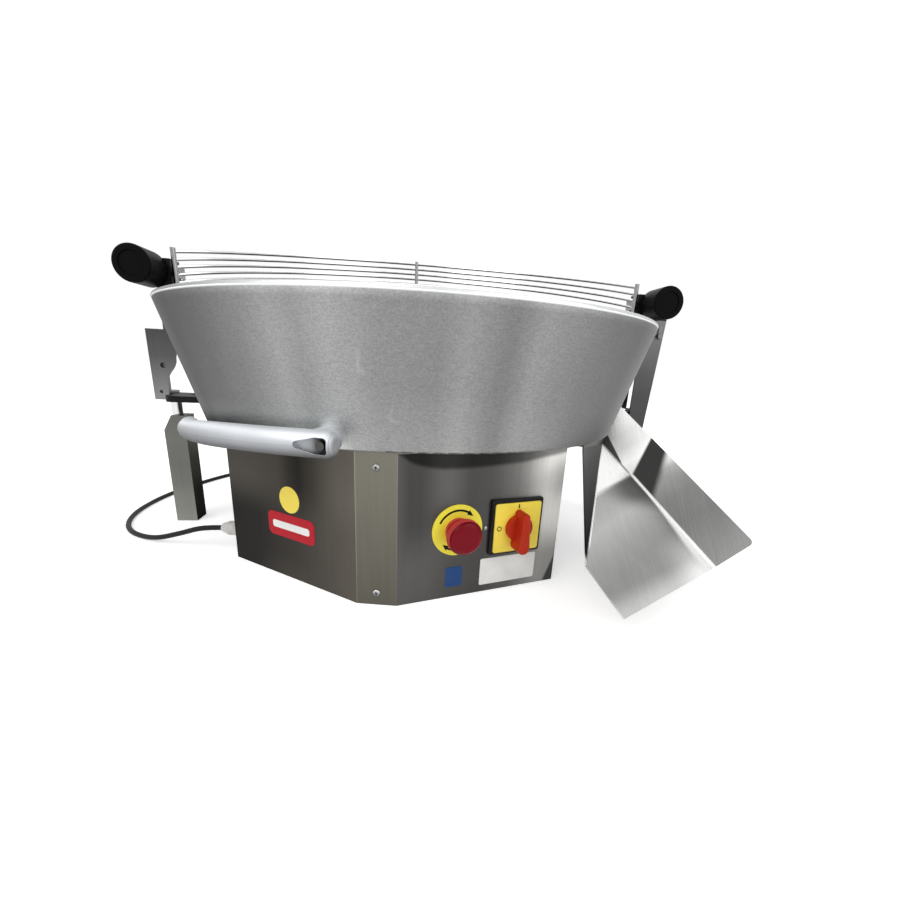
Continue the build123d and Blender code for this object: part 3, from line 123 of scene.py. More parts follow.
# Controls: places as (along the panel, height, out of it), and the marks round them
SWITCH_SPOT = (0.142, 0.0815, 0.0062)
ON_MARK = (0.0014, 0.0048, 0.0005)
ON_MARK_RISE = 0.0258
OFF_MARK_RADIUS = 0.0025
OFF_MARK_WIDTH = 0.001
OFF_MARK_LEFT = 0.0238
STOP_SPOT = (0.0685, 0.0835, 0.0015)
TURN_MARK_RADIUS = 0.0235
TURN_MARK_WIDTH = 0.0022
TURN_MARK_SWEEP = radians(-95)
TURN_MARK_STARTS = {"turn_mark_upper": radians(155), "turn_mark_lower": radians(335)}

# Stand: where the uprights' black heads start, their painted shades as (height, display grey), and the
# braces' bolts
PAINTED_HEAD = 0.3445
UPRIGHT_PAINTED_SHADES = {
    "left": ((0.19, 148), (0.25, 100), (0.31, 78), (0.36, 76)),
    "right": ((0.16, 82), (0.22, 87), (0.26, 100), (0.3, 120), (0.34, 134)),
}
BRACE_REACH = 0.326
BRACE_HEIGHT = 0.186

# Chute: the top of the fold between floor and wall, and its directions
CHUTE_TOP = (0.2869, -0.0641, 0.1560)
CHUTE_RUN = (0.5304, -0.6321, -0.5650)
CHUTE_ACROSS = (0.7660, 0.6428, 0.0)
CHUTE_UP = (0.3897, -0.4100, 0.8246)
CHUTE_LENGTH = 0.218
CHUTE_PALEST = 250

# Stretch of the ground lines on the sheets
BASE_LINES = (1, 1, 0.02)
PLATE_LINES = (1, 1, 0.03)
CHUTE_LINES = (1, 0.03, 0.03)
FRAME_LINES = (0.1, 1, 1)

# Cord: where it leaves the gland, its drop to the bench, its run there as (x, y), and its coil
CORD_EXIT_X = -0.2088
CORD_DROP = (-0.298, -0.178, 0.018)
CORD_RUN = (
    (-0.345, -0.172), (-0.400, -0.150), (-0.440, -0.092), (-0.456, -0.012),
    (-0.450, 0.072), (-0.430, 0.150), (-0.394, 0.224), (-0.340, 0.280))
BENCH_GAP = 0.0001
COIL_SPOT = (-0.215, 0.276)
COIL_STEPS = 12
COIL_TURNS = 5
COIL_GAP = 0.0009
PLUG_INSERT = 0.012


def linear(step):
    """Scene value of a display value given in 8-bit steps."""
    share = step / 255
    return share / 12.92 if share <= 0.04045 else ((share + 0.055) / 1.055) ** 2.4


def tone(red, green, blue):
    """Scene colour of a display colour given in 8-bit steps."""
    return linear(red), linear(green), linear(blue)


def colour_setting(label, text, value):
    """A colour that the sidebar shows."""
    return bpy.props.FloatVectorProperty(
        name=label, description=text, subtype="COLOR", size=3, min=0, max=1, default=value)


def size_setting(label, text, value):
    """A length in metres that the sidebar shows."""
    return bpy.props.FloatProperty(name=label, description=text, unit="LENGTH", min=0, default=value)


class RounderColours(bpy.types.PropertyGroup):
    """Colours of the finishes."""

    bowl: colour_setting("Bowl", "Satin steel of the bowl at its palest", tone(158, 159, 158))
    # Rim: the palest of the painted highlight on the bowl's rolled edge
    rim: colour_setting("Rim", "Bright edge of the bowl", tone(242, 243, 244))
    # Control panel: its palest is the painted highlight at its right edge
    control: colour_setting("Control panel", "Sheet of the control panel at its palest", tone(250, 248, 243))
    panel: colour_setting("Left panel", "Sheet of the left panel at its palest", tone(98, 93, 86))
    strip: colour_setting("Front strip", "Sheet of the front strip at its palest", tone(122, 120, 109))
    base: colour_setting("Rear cover", "Sheet of the base's back", tone(112, 107, 103))
    column: colour_setting("Columns", "Sheet steel of the columns at its palest", tone(139, 140, 134))
    upright: colour_setting("Uprights", "Plate of the uprights at its palest", tone(126, 127, 126))
    alloy: colour_setting("Braces", "Pale cast alloy of the braces at its palest", tone(242, 245, 249))
    bright: colour_setting("Bright steel", "Posts, shaft and screws", tone(205, 205, 205))
    wire: colour_setting("Wire", "Bright wire of the guard", tone(226, 226, 225))
    bracket: colour_setting("Bracket", "Dull steel of the chute's hanger", tone(74, 74, 72))
    clip: colour_setting("Clip", "Small clips below the knobs", tone(120, 121, 120))
    chute: colour_setting("Chute", "Polished sheet of the chute at its palest", tone(246, 246, 244))
    drum: colour_setting("Drum", "Cast alloy of the drum and its flight", tone(172, 173, 172))
    black: colour_setting("Black", "Black paint and plastic", tone(15, 15, 16))
    cord: colour_setting("Cord", "Rubber of the cord and plug", tone(24, 24, 25))
    gland: colour_setting("Gland", "Pale plastic of the cord gland", tone(206, 205, 200))
    yellow: colour_setting("Yellow", "Plate behind the switch", tone(255, 230, 80))
    legend: colour_setting("Legend", "Disc behind the stop button", tone(255, 242, 76))
    stop: colour_setting("Stop", "Red of the stop button", tone(124, 6, 24))
    # Collar: also the painted highlight on the stop button's rounded edge
    collar: colour_setting("Collar", "Paler red of the stop button's collar", tone(196, 62, 62))
    switch: colour_setting("Switch", "Red of the switch handle", tone(184, 46, 22))
    paper: colour_setting("Paper", "White of the blank stickers", tone(246, 246, 243))
    sticker: colour_setting("Red sticker", "Red of the sticker on the left panel", tone(190, 30, 44))
    blue: colour_setting("Blue", "Blue of the small sticker", tone(40, 74, 128))
    motor: colour_setting("Motor", "Paint of the motor and gearbox", tone(92, 104, 116))
    floor: colour_setting("Floor", "Plain floor", (0.9, 0.9, 0.9))


class RounderSizes(bpy.types.PropertyGroup):
    """Sizes of the pieces that are made here."""

    cord: size_setting("Cord", "Diameter of the cord", 0.007)
    coil: size_setting("Coil", "Diameter of the cord's coil", 0.080)
    cord_length: size_setting("Cord length", "Length of the cord", 2.2)
    sticker: size_setting("Sticker", "Thickness of a sticker", 0.0003)
    floor: size_setting("Floor", "Width of the floor", 12.0)


class Wire:
    """An output of a node, with arithmetic that adds the Math nodes it needs."""

    def __init__(self, net, socket):
        self.net = net
        self.socket = socket

    def other(self, name):
        """Another output of the same node."""
        return Wire(self.net, self.socket.node.outputs[name])

    def __add__(self, value):
        return self.net.maths("ADD", self, value)

    def __sub__(self, value):
        return self.net.maths("SUBTRACT", self, value)

    def __rsub__(self, value):
        return self.net.maths("SUBTRACT", value, self)

    def __mul__(self, value):
        return self.net.maths("MULTIPLY", self, value)

    __radd__ = __add__
    __rmul__ = __mul__


class Net:
    """A node tree that is being filled."""

    def __init__(self, tree):
        self.tree = tree
        tree.nodes.clear()

    def add(self, kind, settings=None, sockets=None, output=0):
        """Add a node with its settings, feed its sockets and give one of its outputs."""
        node = self.tree.nodes.new("ShaderNode" + kind)
        for name, value in (settings or {}).items():
            if name == "stops":
                self.set_stops(node.color_ramp.elements, value)
            else:
                setattr(node, name, value)
        for name, value in (sockets or {}).items():
            if isinstance(value, Wire):
                self.tree.links.new(value.socket, node.inputs[name])
            else:
                node.inputs[name].default_value = value
        return Wire(self, node.outputs[output]) if node.outputs else None

    def set_stops(self, elements, stops):
        """Fill a ramp with stops of (place, grey)."""
        elements.remove(elements[1])
        for number, (spot, grey) in enumerate(stops):
            element = elements.new(spot) if number else elements[0]
            element.position = spot
            element.color = (grey, grey, grey, 1)

    def maths(self, operation, first, second):
        """One Math node."""
        return self.add("Math", {"operation": operation}, {0: first, 1: second})

    def place(self, stretch=(1, 1, 1)):
        """Place on the object in metres, with each axis stretched."""
        spot = self.add("TexCoord").other("Object")
        return self.add("VectorMath", {"operation": "MULTIPLY"}, {0: spot, 1: stretch})

    def axis(self, name):
        """One coordinate of the place, in metres."""
        return self.add("SeparateXYZ", {}, {"Vector": self.place()}).other(name)

    def along(self, origin, direction):
        """Distance in metres from an origin along a direction."""
        spot = self.add("VectorMath", {"operation": "SUBTRACT"}, {0: self.place(), 1: origin})
        return self.add("VectorMath", {"operation": "DOT_PRODUCT"}, {0: spot, 1: direction}, "Value")

    def facing(self, direction):
        """1 where the surface faces a direction, down to -1 where it faces away."""
        normal = self.add("TexCoord").other("Normal")
        return self.add("VectorMath", {"operation": "DOT_PRODUCT"}, {0: normal, 1: direction}, "Value")

    def azimuth(self):
        """Angle in degrees about the object's upright axis."""
        return self.maths("ARCTAN2", self.axis("Y"), self.axis("X")) * (180 / pi)

    def shade(self, value, stops, palest=None):
        """Share of a colour along a value, from stops of (value, display grey); the palest grey is 1."""
        first, reach = stops[0][0], stops[-1][0] - stops[0][0]
        whole = linear(palest or max(grey for _, grey in stops))
        marks = [((spot - first) / reach, linear(grey) / whole) for spot, grey in stops]
        return self.add("ValToRGB", {"stops": marks}, {"Fac": (value - first) * (1 / reach)})

    def noise(self, scale, stretch=(1, 1, 1), detail=3.0, distortion=0.0):
        """Cloudy values about a half."""
        return self.add("TexNoise", {}, {
            "Vector": self.place(stretch), "Scale": scale, "Detail": detail, "Distortion": distortion})

    def rise(self, value, low, high, start=0.0, end=1.0):
        """Start below low, end above high and a soft change between."""
        return self.add("MapRange", {"interpolation_type": "SMOOTHSTEP"}, {
            "Value": value, "From Min": low, "From Max": high, "To Min": start, "To Max": end})

    def fall(self, value, low, high):
        """1 below low, 0 above high and a soft change between."""
        return self.rise(value, low, high, 1.0, 0.0)

    def between(self, first, second, factor):
        """One value turning into another."""
        return first + (second - first) * factor

    def mix(self, factor, first, second):
        """One colour turning into another."""
        ends = [end if isinstance(end, Wire) else (*end, 1.0) for end in (first, second)]
        return self.add("Mix", {"data_type": "RGBA"}, {0: factor, 6: ends[0], 7: ends[1]}, 2)

    def scaled(self, colour, share):
        """A colour made darker or brighter."""
        return self.add("VectorMath", {"operation": "SCALE"}, {0: colour, "Scale": share})

    def bump(self, height, depth):
        """A normal for a relief of that depth in metres."""
        return self.add("Bump", {}, {"Height": height, "Distance": depth, "Strength": 1.0})

    def seen(self):
        """1 for what the camera sees, by itself or in metal or glass."""
        path = self.add("LightPath")
        return path.other("Is Camera Ray") + path.other("Is Glossy Ray") + path.other("Is Transmission Ray")


def finish(name, recipe, *values):
    """A material whose sockets a recipe gives."""
    made = bpy.data.materials.new(name)
    made.use_nodes = True
    net = Net(made.node_tree)
    shader = net.add("BsdfPrincipled", {}, recipe(net, *values))
    net.add("OutputMaterial", {}, {"Surface": shader})
    return made


def sheet_steel(net, colour, rough, stretch, share=1.0):
    """Ground sheet: fine lines along one way, soft clouds and a few smears."""
    lines = net.noise(420, stretch, 4)
    clouds = net.noise(5, (1, 1, 0.6), 2)
    smears = net.noise(26, (1, 1, 0.35), 3, 0.6)
    return {
        "Base Color": net.scaled(colour, (0.7 + lines * 0.2 + clouds * 0.24 + smears * 0.16) * share),
        "Metallic": 1.0,
        "Roughness": rough - 0.06 + lines * 0.1 + smears * 0.08,
        "Normal": net.bump(lines, 0.00005),
    }


def control_sheet(net, colour, face):
    """Control panel: painted reflections and shade, pale towards its right edge as a painted highlight, with
    the bowl's painted shadow along its top and a dim corner.
    """
    palest = 250
    along, height = net.along(face.translation, face.col[0].xyz), net.axis("Z")
    # Painted reflections and shade along the panel, high and low, palest at its right edge as a painted
    # highlight
    upper = net.shade(along, (
        (0.0, 80), (0.012, 66), (0.026, 66), (0.048, 86), (0.059, 88), (0.082, 70), (0.105, 74), (0.117, 82),
        (0.129, 96), (0.142, 114), (0.155, 152), (0.168, 204), (0.182, 244), (0.204, 250),
        (0.206, 124), (0.3, 112)), palest)
    lower = net.shade(along, (
        (0.0, 86), (0.03, 86), (0.06, 74), (0.1, 69), (0.14, 86), (0.16, 118), (0.18, 150), (0.204, 142),
        (0.206, 110), (0.3, 100)), palest)
    share = net.between(lower, upper, net.rise(height, 0.035, 0.1))
    # Painted shadow of the bowl along the panel's top
    edge = net.add("ValToRGB", {"stops": PAINTED_SHADOW_EDGE}, {"Fac": along * (1 / PANEL_WIDTH)})
    painted_shade = net.rise(height - (edge * PAINTED_SHADOW_DEPTH + PAINTED_SHADOW_FOOT), -0.004, 0.0022)
    corner = net.rise(along - height * 0.4, 0.187, 0.192) * net.fall(along, 0.2042, 0.2052)
    made = sheet_steel(net, colour, 0.36, BASE_LINES, share * (1 - painted_shade * 0.72) * (1 - corner * 0.93))
    # Less metal towards the right edge, under the painted highlight
    made["Metallic"] = net.rise(along, 0.11, 0.17, 1.0, 0.35)
    return made


def left_sheet(net, colour, face):
    """Left panel: painted reflections and shade, even along its top but for a streak of the brace's painted
    shadow, dim at its left and paler towards the front strip, with a painted glow low down.
    """
    palest = 98
    along, height = net.along(face.translation, face.col[0].xyz), net.axis("Z")
    # Painted reflections and shade along the panel, low and high; the dip high up is the brace's painted
    # shadow
    lower = net.shade(along, (
        (-0.1, 84), (-0.002, 76), (0.0, 20), (0.05, 33), (0.09, 52), (0.127, 66), (0.16, 81),
        (0.204, 94)), palest)
    upper = net.shade(along, (
        (-0.1, 90), (-0.002, 80), (0.0, 72), (0.05, 73), (0.09, 69), (0.106, 48), (0.122, 35), (0.144, 60),
        (0.16, 79), (0.18, 96), (0.204, 102)), palest)
    share = net.between(lower, upper, net.rise(height, 0.07, 0.125))
    # Painted glow low on the panel
    painted_glow = net.rise(height, 0.0, 0.035, 0.14, 0.0) * net.rise(along, 0.03, 0.08) * net.fall(along, 0.1, 0.17)
    made = sheet_steel(net, colour, 0.36, BASE_LINES, share + painted_glow)
    made["Metallic"] = 0.45
    made["Specular IOR Level"] = 0.03
    return made


def strip_sheet(net, colour, half):
    """Front strip: painted shade, paler towards its top, with painted highlights on its folded edges."""
    across = net.axis("X")
    # Painted highlights on both folded edges
    fold = net.rise(across, -half, 0.0016 - half, 0.55, 0.0) + net.rise(across, half - 0.0012, half, 0.0, 0.3)
    # Painted shade, paler towards the top
    share = net.shade(net.axis("Z"), ((0.0, 94), (0.09, 104), (0.176, 116)))
    return sheet_steel(net, colour, 0.36, BASE_LINES, share * (0.86 + fold))


def column_sheet(net, colour):
    """Column tube with painted shade: pale at its foot, and its side towards the base painted in the base's
    shade.
    """
    palest = 139
    height = net.axis("Z")
    # The side towards the base, painted in shade and without metal
    inner = net.fall(net.facing((1, 0, 0)) * net.axis("X"), -0.3, -0.1)
    # Painted shade: down the front and, darker, on that side
    front = net.shade(height, (
        (0.0, 139), (0.03, 130), (0.06, 108), (0.09, 101), (0.13, 103), (0.166, 98)), palest)
    side = net.shade(height, ((0.0, 50), (0.05, 66), (0.1, 118), (0.166, 210)), palest)
    made = sheet_steel(net, colour, 0.4, BASE_LINES, net.between(front, side, inner))
    made["Metallic"] = 1 - inner
    made["Specular IOR Level"] = 0.0
    return made


def brace_alloy(net, colour):
    """Pale casting with painted shade that dims it towards its underside, and painted shade in a pocket round
    each bolt.
    """
    palest = 252
    grain = net.noise(700, (1, 1, 1), 3)
    clouds = net.noise(30, (1, 1, 1), 3)
    up = net.facing(UP)
    # Painted shade by how the surface faces up, deeper towards the left end
    far = net.shade(up, ((-1, 46), (-0.5, 68), (0, 112), (0.4, 168), (0.75, 246), (1, 254)), palest)
    near = net.shade(up, ((-1, 86), (-0.6, 128), (0, 184), (0.4, 220), (1, 252)), palest)
    share = net.between(far, near, net.rise(net.axis("X"), -0.3, -0.08))
    out = net.add("VectorMath", {"operation": "LENGTH"}, {0: net.place((1, 1, 0))}, "Value") - BRACE_REACH
    rise = net.axis("Z") - BRACE_HEIGHT
    turn = net.maths("MODULO", net.azimuth() + 360, 180.0)
    # Painted shade in the pocket round each bolt
    pocket = net.fall(out * out + rise * rise, 0.000112, 0.000132)
    pocket = pocket * net.rise(turn, 78.9, 79.1) * net.fall(turn, 84.9, 85.1)
    painted_pocket_shade = net.shade(turn, ((79, 206), (81.6, 166), (82.5, 104), (83.3, 52), (85, 42)), palest)
    share = net.between(share, painted_pocket_shade, pocket)
    return {
        "Base Color": net.scaled(colour, (0.86 + grain * 0.12 + clouds * 0.16) * share),
        "Metallic": 1.0,
        "Roughness": 0.52 + grain * 0.12,
        "Normal": net.bump(grain, 0.00008),
    }


def bowl_steel(net, colour, highlight_colour, height):
    """Satin cone with painted reflections and shade in soft bands round it, painted light, turning marks,
    fine grain, rubbed spots and a bright edge painted as a highlight.
    """
    # Painted reflections and shade in bands round the cone
    bands = net.shade(net.azimuth(), (
        (-180, 116), (-160, 108), (-150, 86), (-141, 42), (-131, 58), (-124, 92), (-119, 108), (-112, 131),
        (-104, 160), (-100, 152), (-95, 168), (-88, 146), (-79, 138), (-75, 153), (-68, 127), (-63, 154),
        (-55, 140), (-45, 118), (-36, 96), (-23, 98), (-20, 128), (0, 122), (40, 150), (80, 164),
        (120, 142), (150, 122), (180, 110)))
    streaks = net.noise(16, (1, 1, 0.12), 2, 0.4)
    grain = net.rise(net.noise(620, (1, 1, 1), 4), 0.3, 0.7)
    turning = net.rise(net.noise(700, (0.22, 0.22, 1), 3), 0.3, 0.7)
    patches = net.noise(9, (1, 1, 0.7), 3)
    spots = net.rise(net.noise(38, (1, 1, 0.5), 3, 1.2), 0.66, 0.78)
    level, turn = net.axis("Z"), net.azimuth()
    # Painted light: brighter low down, near the top and above the front brace
    painted_fade = net.rise(level, 0.18, 0.25, 1.2, 1.0) * net.rise(level, height - 0.012, height - 0.004, 0.94, 1.4)
    painted_fade = painted_fade + net.fall(level, 0.186, 0.218) * net.rise(turn, -152, -138) * net.fall(turn, -98, -93)
    # Painted shade on the left side, where the metal is cut back
    painted_shade = net.rise(turn, -154, -143) * net.fall(turn, -133, -122)
    share = 0.58 + streaks * 0.2 + grain * 0.26 + turning * 0.12 + patches * 0.2 + spots * 0.18
    # Painted highlight on the bowl's edge
    edge = net.rise(level, height - 0.0054, height - 0.0034)
    return {
        "Base Color": net.mix(edge, net.scaled(colour, share * bands * painted_fade), highlight_colour),
        "Metallic": 1 - painted_shade * 0.6,
        "Roughness": 0.44 + grain * 0.08 - edge * 0.2,
        "Specular IOR Level": 0.1,
        "Normal": net.bump(grain + turning, 0.00004),
    }


def rim_steel(net, colour):
    """Polished rolled edge, painted bright as a highlight, that dims towards the object's sides with painted
    shade.
    """
    palest = 245
    rubbed = net.noise(90, (1, 1, 1), 3)
    # Painted highlight round the edge, with painted shade towards the sides
    share = net.shade(net.azimuth(), (
        (-180, 170), (-140, 100), (-125, 140), (-108, 214), (-90, 230), (-60, 230), (-40, 200), (-20, 150),
        (30, 190), (180, 170)), palest)
    return {
        "Base Color": net.scaled(colour, share * (0.9 + rubbed * 0.2)),
        "Metallic": 1.0,
        "Roughness": 0.24 + rubbed * 0.08,
    }


def chute_wall(net, down, across):
    """Share for the chute's right wall: painted reflections in bands down it, a painted highlight on its
    edge, a slanted dark band of painted reflection and painted shade at its top.
    """
    # Painted reflections in bands down the wall
    wall = net.shade(down, (
        (-0.2, 226), (0.0, 198), (0.1, 208), (0.2, 244), (0.28, 220), (0.36, 144), (0.44, 148), (0.54, 130),
        (0.7, 122), (0.85, 124), (1.0, 126)), CHUTE_PALEST)
    # Painted highlight along the wall's upper edge
    wall = wall + net.rise(across, 0.012, 0.056, 0.0, 0.3) * net.fall(down, 0.3, 0.46)
    # Slanted dark band of painted reflection
    band = net.rise(down + across * 2.96, 0.285, 0.305) * net.fall(down + across * 3.86, 0.465, 0.525)
    # Painted shade at the top of the wall, by the fold
    dim = net.fall(across + down * 0.052, 0.0105, 0.0125) * net.fall(down, 0.17, 0.2)
    return net.between(net.between(wall, 0.046, band), 0.06, dim)


def chute_floor(net, down, across):
    """Share for the chute's floor: painted reflections with a bright top, a slanted painted shadow and
    painted highlights on its lips.
    """
    slant = down + across * 0.81
    # Painted reflections down the floor, bright at its top
    floor = net.shade(slant, (
        (0.0, 250), (0.272, 250), (0.31, 170), (0.4, 176), (0.47, 184), (0.6, 160), (0.7, 148), (0.85, 150),
        (1.0, 164)), CHUTE_PALEST)
    # Slanted painted shadow across the floor
    shadow = net.rise(slant, 0.275, 0.3) * net.fall(down - across * 1.09, 0.46, 0.62)
    floor = floor * (1 - shadow * net.rise(across, -0.11, -0.03, 0.0, 0.76))
    # Painted highlights: a glow low by the fold, the lower lip and the left edge
    corner = net.rise(down, 0.7, 1.0, 0.0, 0.6) * net.rise(across, -0.1, 0.0)
    lip_highlight = net.rise(down, 0.88, 1.0, 0.0, 0.3) + corner
    brink_highlight = net.fall(across + down * 0.281, 0.0012, 0.0024) * net.rise(down, 0.08, 0.12)
    brink_highlight = brink_highlight * net.fall(down, 0.62, 0.68)
    return floor + lip_highlight + brink_highlight * 0.7


def chute_sheet(net, colour):
    """Polished chute: floor and wall banded with painted reflections, painted shade in the seam and a painted
    highlight on the fold between, and a left cheek dimmed with painted shade.
    """
    down = net.along(CHUTE_TOP, CHUTE_RUN) * (1 / CHUTE_LENGTH)
    across = net.along(CHUTE_TOP, CHUTE_ACROSS)
    floor, wall = chute_floor(net, down, across), chute_wall(net, down, across)
    cheek = net.rise(net.along(CHUTE_TOP, CHUTE_UP), 0.002, 0.004) * net.fall(across, 0.0, 0.001)
    # Painted shade down the left cheek
    side = net.shade(net.axis("Z"), (
        (0.06, 14), (0.09, 26), (0.12, 64), (0.15, 88), (0.174, 116)), CHUTE_PALEST)
    # Painted shade in the seam, and a painted highlight on the fold that widens downwards
    seam = net.rise(across, -0.0036, -0.0022) * net.fall(across, 0.0008, 0.0016)
    spread = net.rise(down, 0.4, 1.05)
    fold = net.rise(across + spread * 0.014, -0.003 - spread * 0.012, 0.0015)
    fold = fold * net.fall(across, 0.0018, 0.004) * net.rise(down, 0.24, 0.32)
    share = net.between(floor, wall, net.rise(across, 0.0, 0.001))
    share = share * (1 - seam * net.rise(down, 0.26, 0.32, 0.6, 0.0))
    share = net.between(share, 1.05, fold)
    share = net.between(share, side, cheek)
    made = sheet_steel(net, colour, 0.24, CHUTE_LINES, share)
    # The cheek and the fold's painted highlight lose their metal
    made["Metallic"] = (1 - cheek) * (1 - fold * 0.7)
    made["Roughness"] = made["Roughness"] + cheek * 0.6
    made["Specular IOR Level"] = 0.05
    return made


def cast_alloy(net, colour, rough):
    """Blasted casting with fine grain and cloudy patches."""
    grain = net.noise(700, (1, 1, 1), 3)
    clouds = net.noise(14, (1, 1, 1), 3)
    return {
        "Base Color": net.scaled(colour, 0.78 + grain * 0.16 + clouds * 0.28),
        "Metallic": 1.0,
        "Roughness": rough - 0.05 + grain * 0.12,
        "Normal": net.bump(grain, 0.00008),
    }


def bright_steel(net, colour, rough, underside_shade=1.0):
    """Turned or drawn steel with faint rubbed patches, and painted shade that makes it dimmer underneath."""
    rubbed = net.noise(60, (1, 1, 1), 4)
    # Painted shade on surfaces that face down
    share = (0.85 + rubbed * 0.3) * net.rise(net.facing(UP), -0.3, 0.5, underside_shade, 1.0)
    return {
        "Base Color": net.scaled(colour, share),
        "Metallic": 1.0,
        "Roughness": rough - 0.04 + rubbed * 0.08,
    }


def plastic(net, colour, rough, shine=0.5):
    """Moulded plastic with a faint grain and handling marks."""
    grain = net.noise(900, (1, 1, 1), 2)
    marks = net.noise(45, (1, 1, 1), 4)
    return {
        "Base Color": net.scaled(colour, 0.85 + marks * 0.3),
        "Roughness": rough - 0.08 + marks * 0.16,
        "Specular IOR Level": shine,
        "Normal": net.bump(grain, 0.00002),
    }


def stop_plastic(net, colour, highlight_colour, axis):
    """Stop button: a dim face inside a fine groove of painted shade, and a rounded edge painted paler as a
    highlight.
    """
    made = plastic(net, colour, 0.3, 0.12)
    front = net.facing(axis)
    # Painted shade of a fine groove round the face
    groove = net.rise(front, 0.48, 0.56) * net.fall(front, 0.62, 0.72)
    face = net.scaled(made["Base Color"], 1 - groove * 0.6)
    # The rounded edge painted paler as a highlight
    made["Base Color"] = net.mix(net.fall(front, 0.4, 0.5), face, highlight_colour)
    return made


def paint(net, colour, rough, shine=0.5):
    """Sprayed paint with a slight orange peel."""
    peel = net.noise(320, (1, 1, 1), 2)
    clouds = net.noise(18, (1, 1, 1), 3)
    return {
        "Base Color": net.scaled(colour, 0.85 + clouds * 0.3),
        "Roughness": rough - 0.05 + clouds * 0.1,
        "Specular IOR Level": shine,
        "Normal": net.bump(peel, 0.00005),
    }


def upright_plate(net, colour, black, stops):
    """Ground plate with painted shade up its height, whose head is painted black."""
    palest = 150
    height = net.axis("Z")
    # Painted shade up the plate's height
    made = sheet_steel(net, colour, 0.36, PLATE_LINES, net.shade(height, stops, palest))
    painted = net.rise(height, PAINTED_HEAD - 0.0005, PAINTED_HEAD + 0.0005)
    made["Base Color"] = net.mix(painted, made["Base Color"], black)
    made["Metallic"] = 1 - painted
    made["Specular IOR Level"] = 0.2
    return made


def white_floor(net, colour):
    """Plain floor that the camera and the metal see as white, with the object's shadow."""
    return {
        "Base Color": (*colour, 1),
        "Roughness": 0.9,
        "Emission Color": net.mix(net.seen(), (0, 0, 0), (1, 1, 1)),
        "Emission Strength": FLOOR_LIGHT,
    }


def dress(names, made):
    """Give CAD nodes a finish."""
    for name in names:
        NODES[name].data.materials.clear()
        NODES[name].data.materials.append(made)


def piece(name, data, made, body):
    """A new piece, parented to an empty named after a CAD body."""
    data.materials.append(made)
    shown = bpy.data.objects.new(name, data)
    bpy.context.scene.collection.objects.link(shown)
    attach(shown, body)
    return shown


def mesh_of(work, name):
    """The finished mesh of a piece of bmesh work."""
    made = bpy.data.meshes.new(name)
    work.to_mesh(made)
    work.free()
    return made


def plate(name, outline, frame_at, thick):
    """A flat mesh of that outline, which stands on a plane."""
    work = bmesh.new()
    foot, top = [[work.verts.new(frame_at @ Vector((x, y, z))) for x, y in outline] for z in (0, thick)]
    work.faces.new(foot)
    work.faces.new(top)
    for step in range(len(outline)):
        work.faces.new((foot[step - 1], foot[step], top[step], top[step - 1]))
    bmesh.ops.recalc_face_normals(work, faces=work.faces)
    return mesh_of(work, name)


def rounded(width, height, corner, steps=5):
    """Outline of a rectangle with round corners about the origin."""
    points = []
    for turn, (side, end) in enumerate(((1, 1), (-1, 1), (-1, -1), (1, -1))):
        for step in range(steps + 1):
            angle = (turn + step / steps) * pi / 2
            points.append((side * (width / 2 - corner) + corner * cos(angle),
                           end * (height / 2 - corner) + corner * sin(angle)))
    return points


def bent(radius, angles):
    """Points at some angles on a circle about the origin."""
    return [(radius * cos(angle), radius * sin(angle)) for angle in angles]


def disc(radius, steps=48):
    """Outline of a circle about the origin."""
    return bent(radius, [tau * step / steps for step in range(steps)])


def hoop(radius, width, steps=48, gap=0.02):
    """Outline of a flat ring about the origin, with a hair's gap where its ends meet."""
    angles = [(tau - gap) * step / steps for step in range(steps + 1)]
    return bent(radius + width / 2, angles) + bent(radius - width / 2, reversed(angles))


def cross(reach, width):
    """Outline of a cross about the origin."""
    half = width / 2
    quarter = ((reach, -half), (reach, half), (half, half))
    turns = (Matrix.Rotation(turn * pi / 2, 2) for turn in range(4))
    return [tuple(turn @ Vector(corner)) for turn in turns for corner in quarter]


def arrow(radius, start, sweep, width, steps=14):
    """Outline of an arrow bent round the origin."""
    angles = [start + sweep * step / steps for step in range(steps + 1)]
    end, tip = angles[-1:], [angles[-1] + sweep * 0.2]
    barb = width * 1.3
    return (bent(radius + width / 2, angles) + bent(radius + barb, end) + bent(radius, tip)
            + bent(radius - barb, end) + bent(radius - width / 2, reversed(angles)))


def turned(name, frames, profile, steps=32):
    """A mesh turned from a profile of (radius, height) points that ends on its axis, once in each frame."""
    work = bmesh.new()
    for at in frames:
        rings = [[work.verts.new(at @ Vector((x, y, height))) for x, y in disc(radius, steps)]
                 for radius, height in profile[:-1]]
        top = work.verts.new(at @ Vector((0, 0, profile[-1][1])))
        for step in range(steps):
            for low, high in zip(rings, rings[1:]):
                work.faces.new((low[step - 1], low[step], high[step], high[step - 1]))
            work.faces.new((rings[-1][step - 1], rings[-1][step], top))
    for face in work.faces:
        face.smooth = True
    return mesh_of(work, name)


def ring(name, profile, steps=288):
    """A mesh turned about the upright axis from an open profile of (radius, height) points."""
    work = bmesh.new()
    angles = [tau * step / steps for step in range(steps)]
    rows = [[work.verts.new((radius * cos(angle), radius * sin(angle), height)) for radius, height in profile]
            for angle in angles]
    for last, row in zip(rows[-1:] + rows, rows):
        for low in range(len(profile) - 1):
            face = work.faces.new((last[low], row[low], row[low + 1], last[low + 1]))
            face.smooth = True
    return mesh_of(work, name)


def standing(origin, outward):
    """Frame on an upright face: X along it, Y up and Z out of it."""
    out = Vector(outward).normalized()
    run = UP.cross(out)
    return Matrix.Translation(origin) @ Matrix((run, UP, out)).transposed().to_4x4()


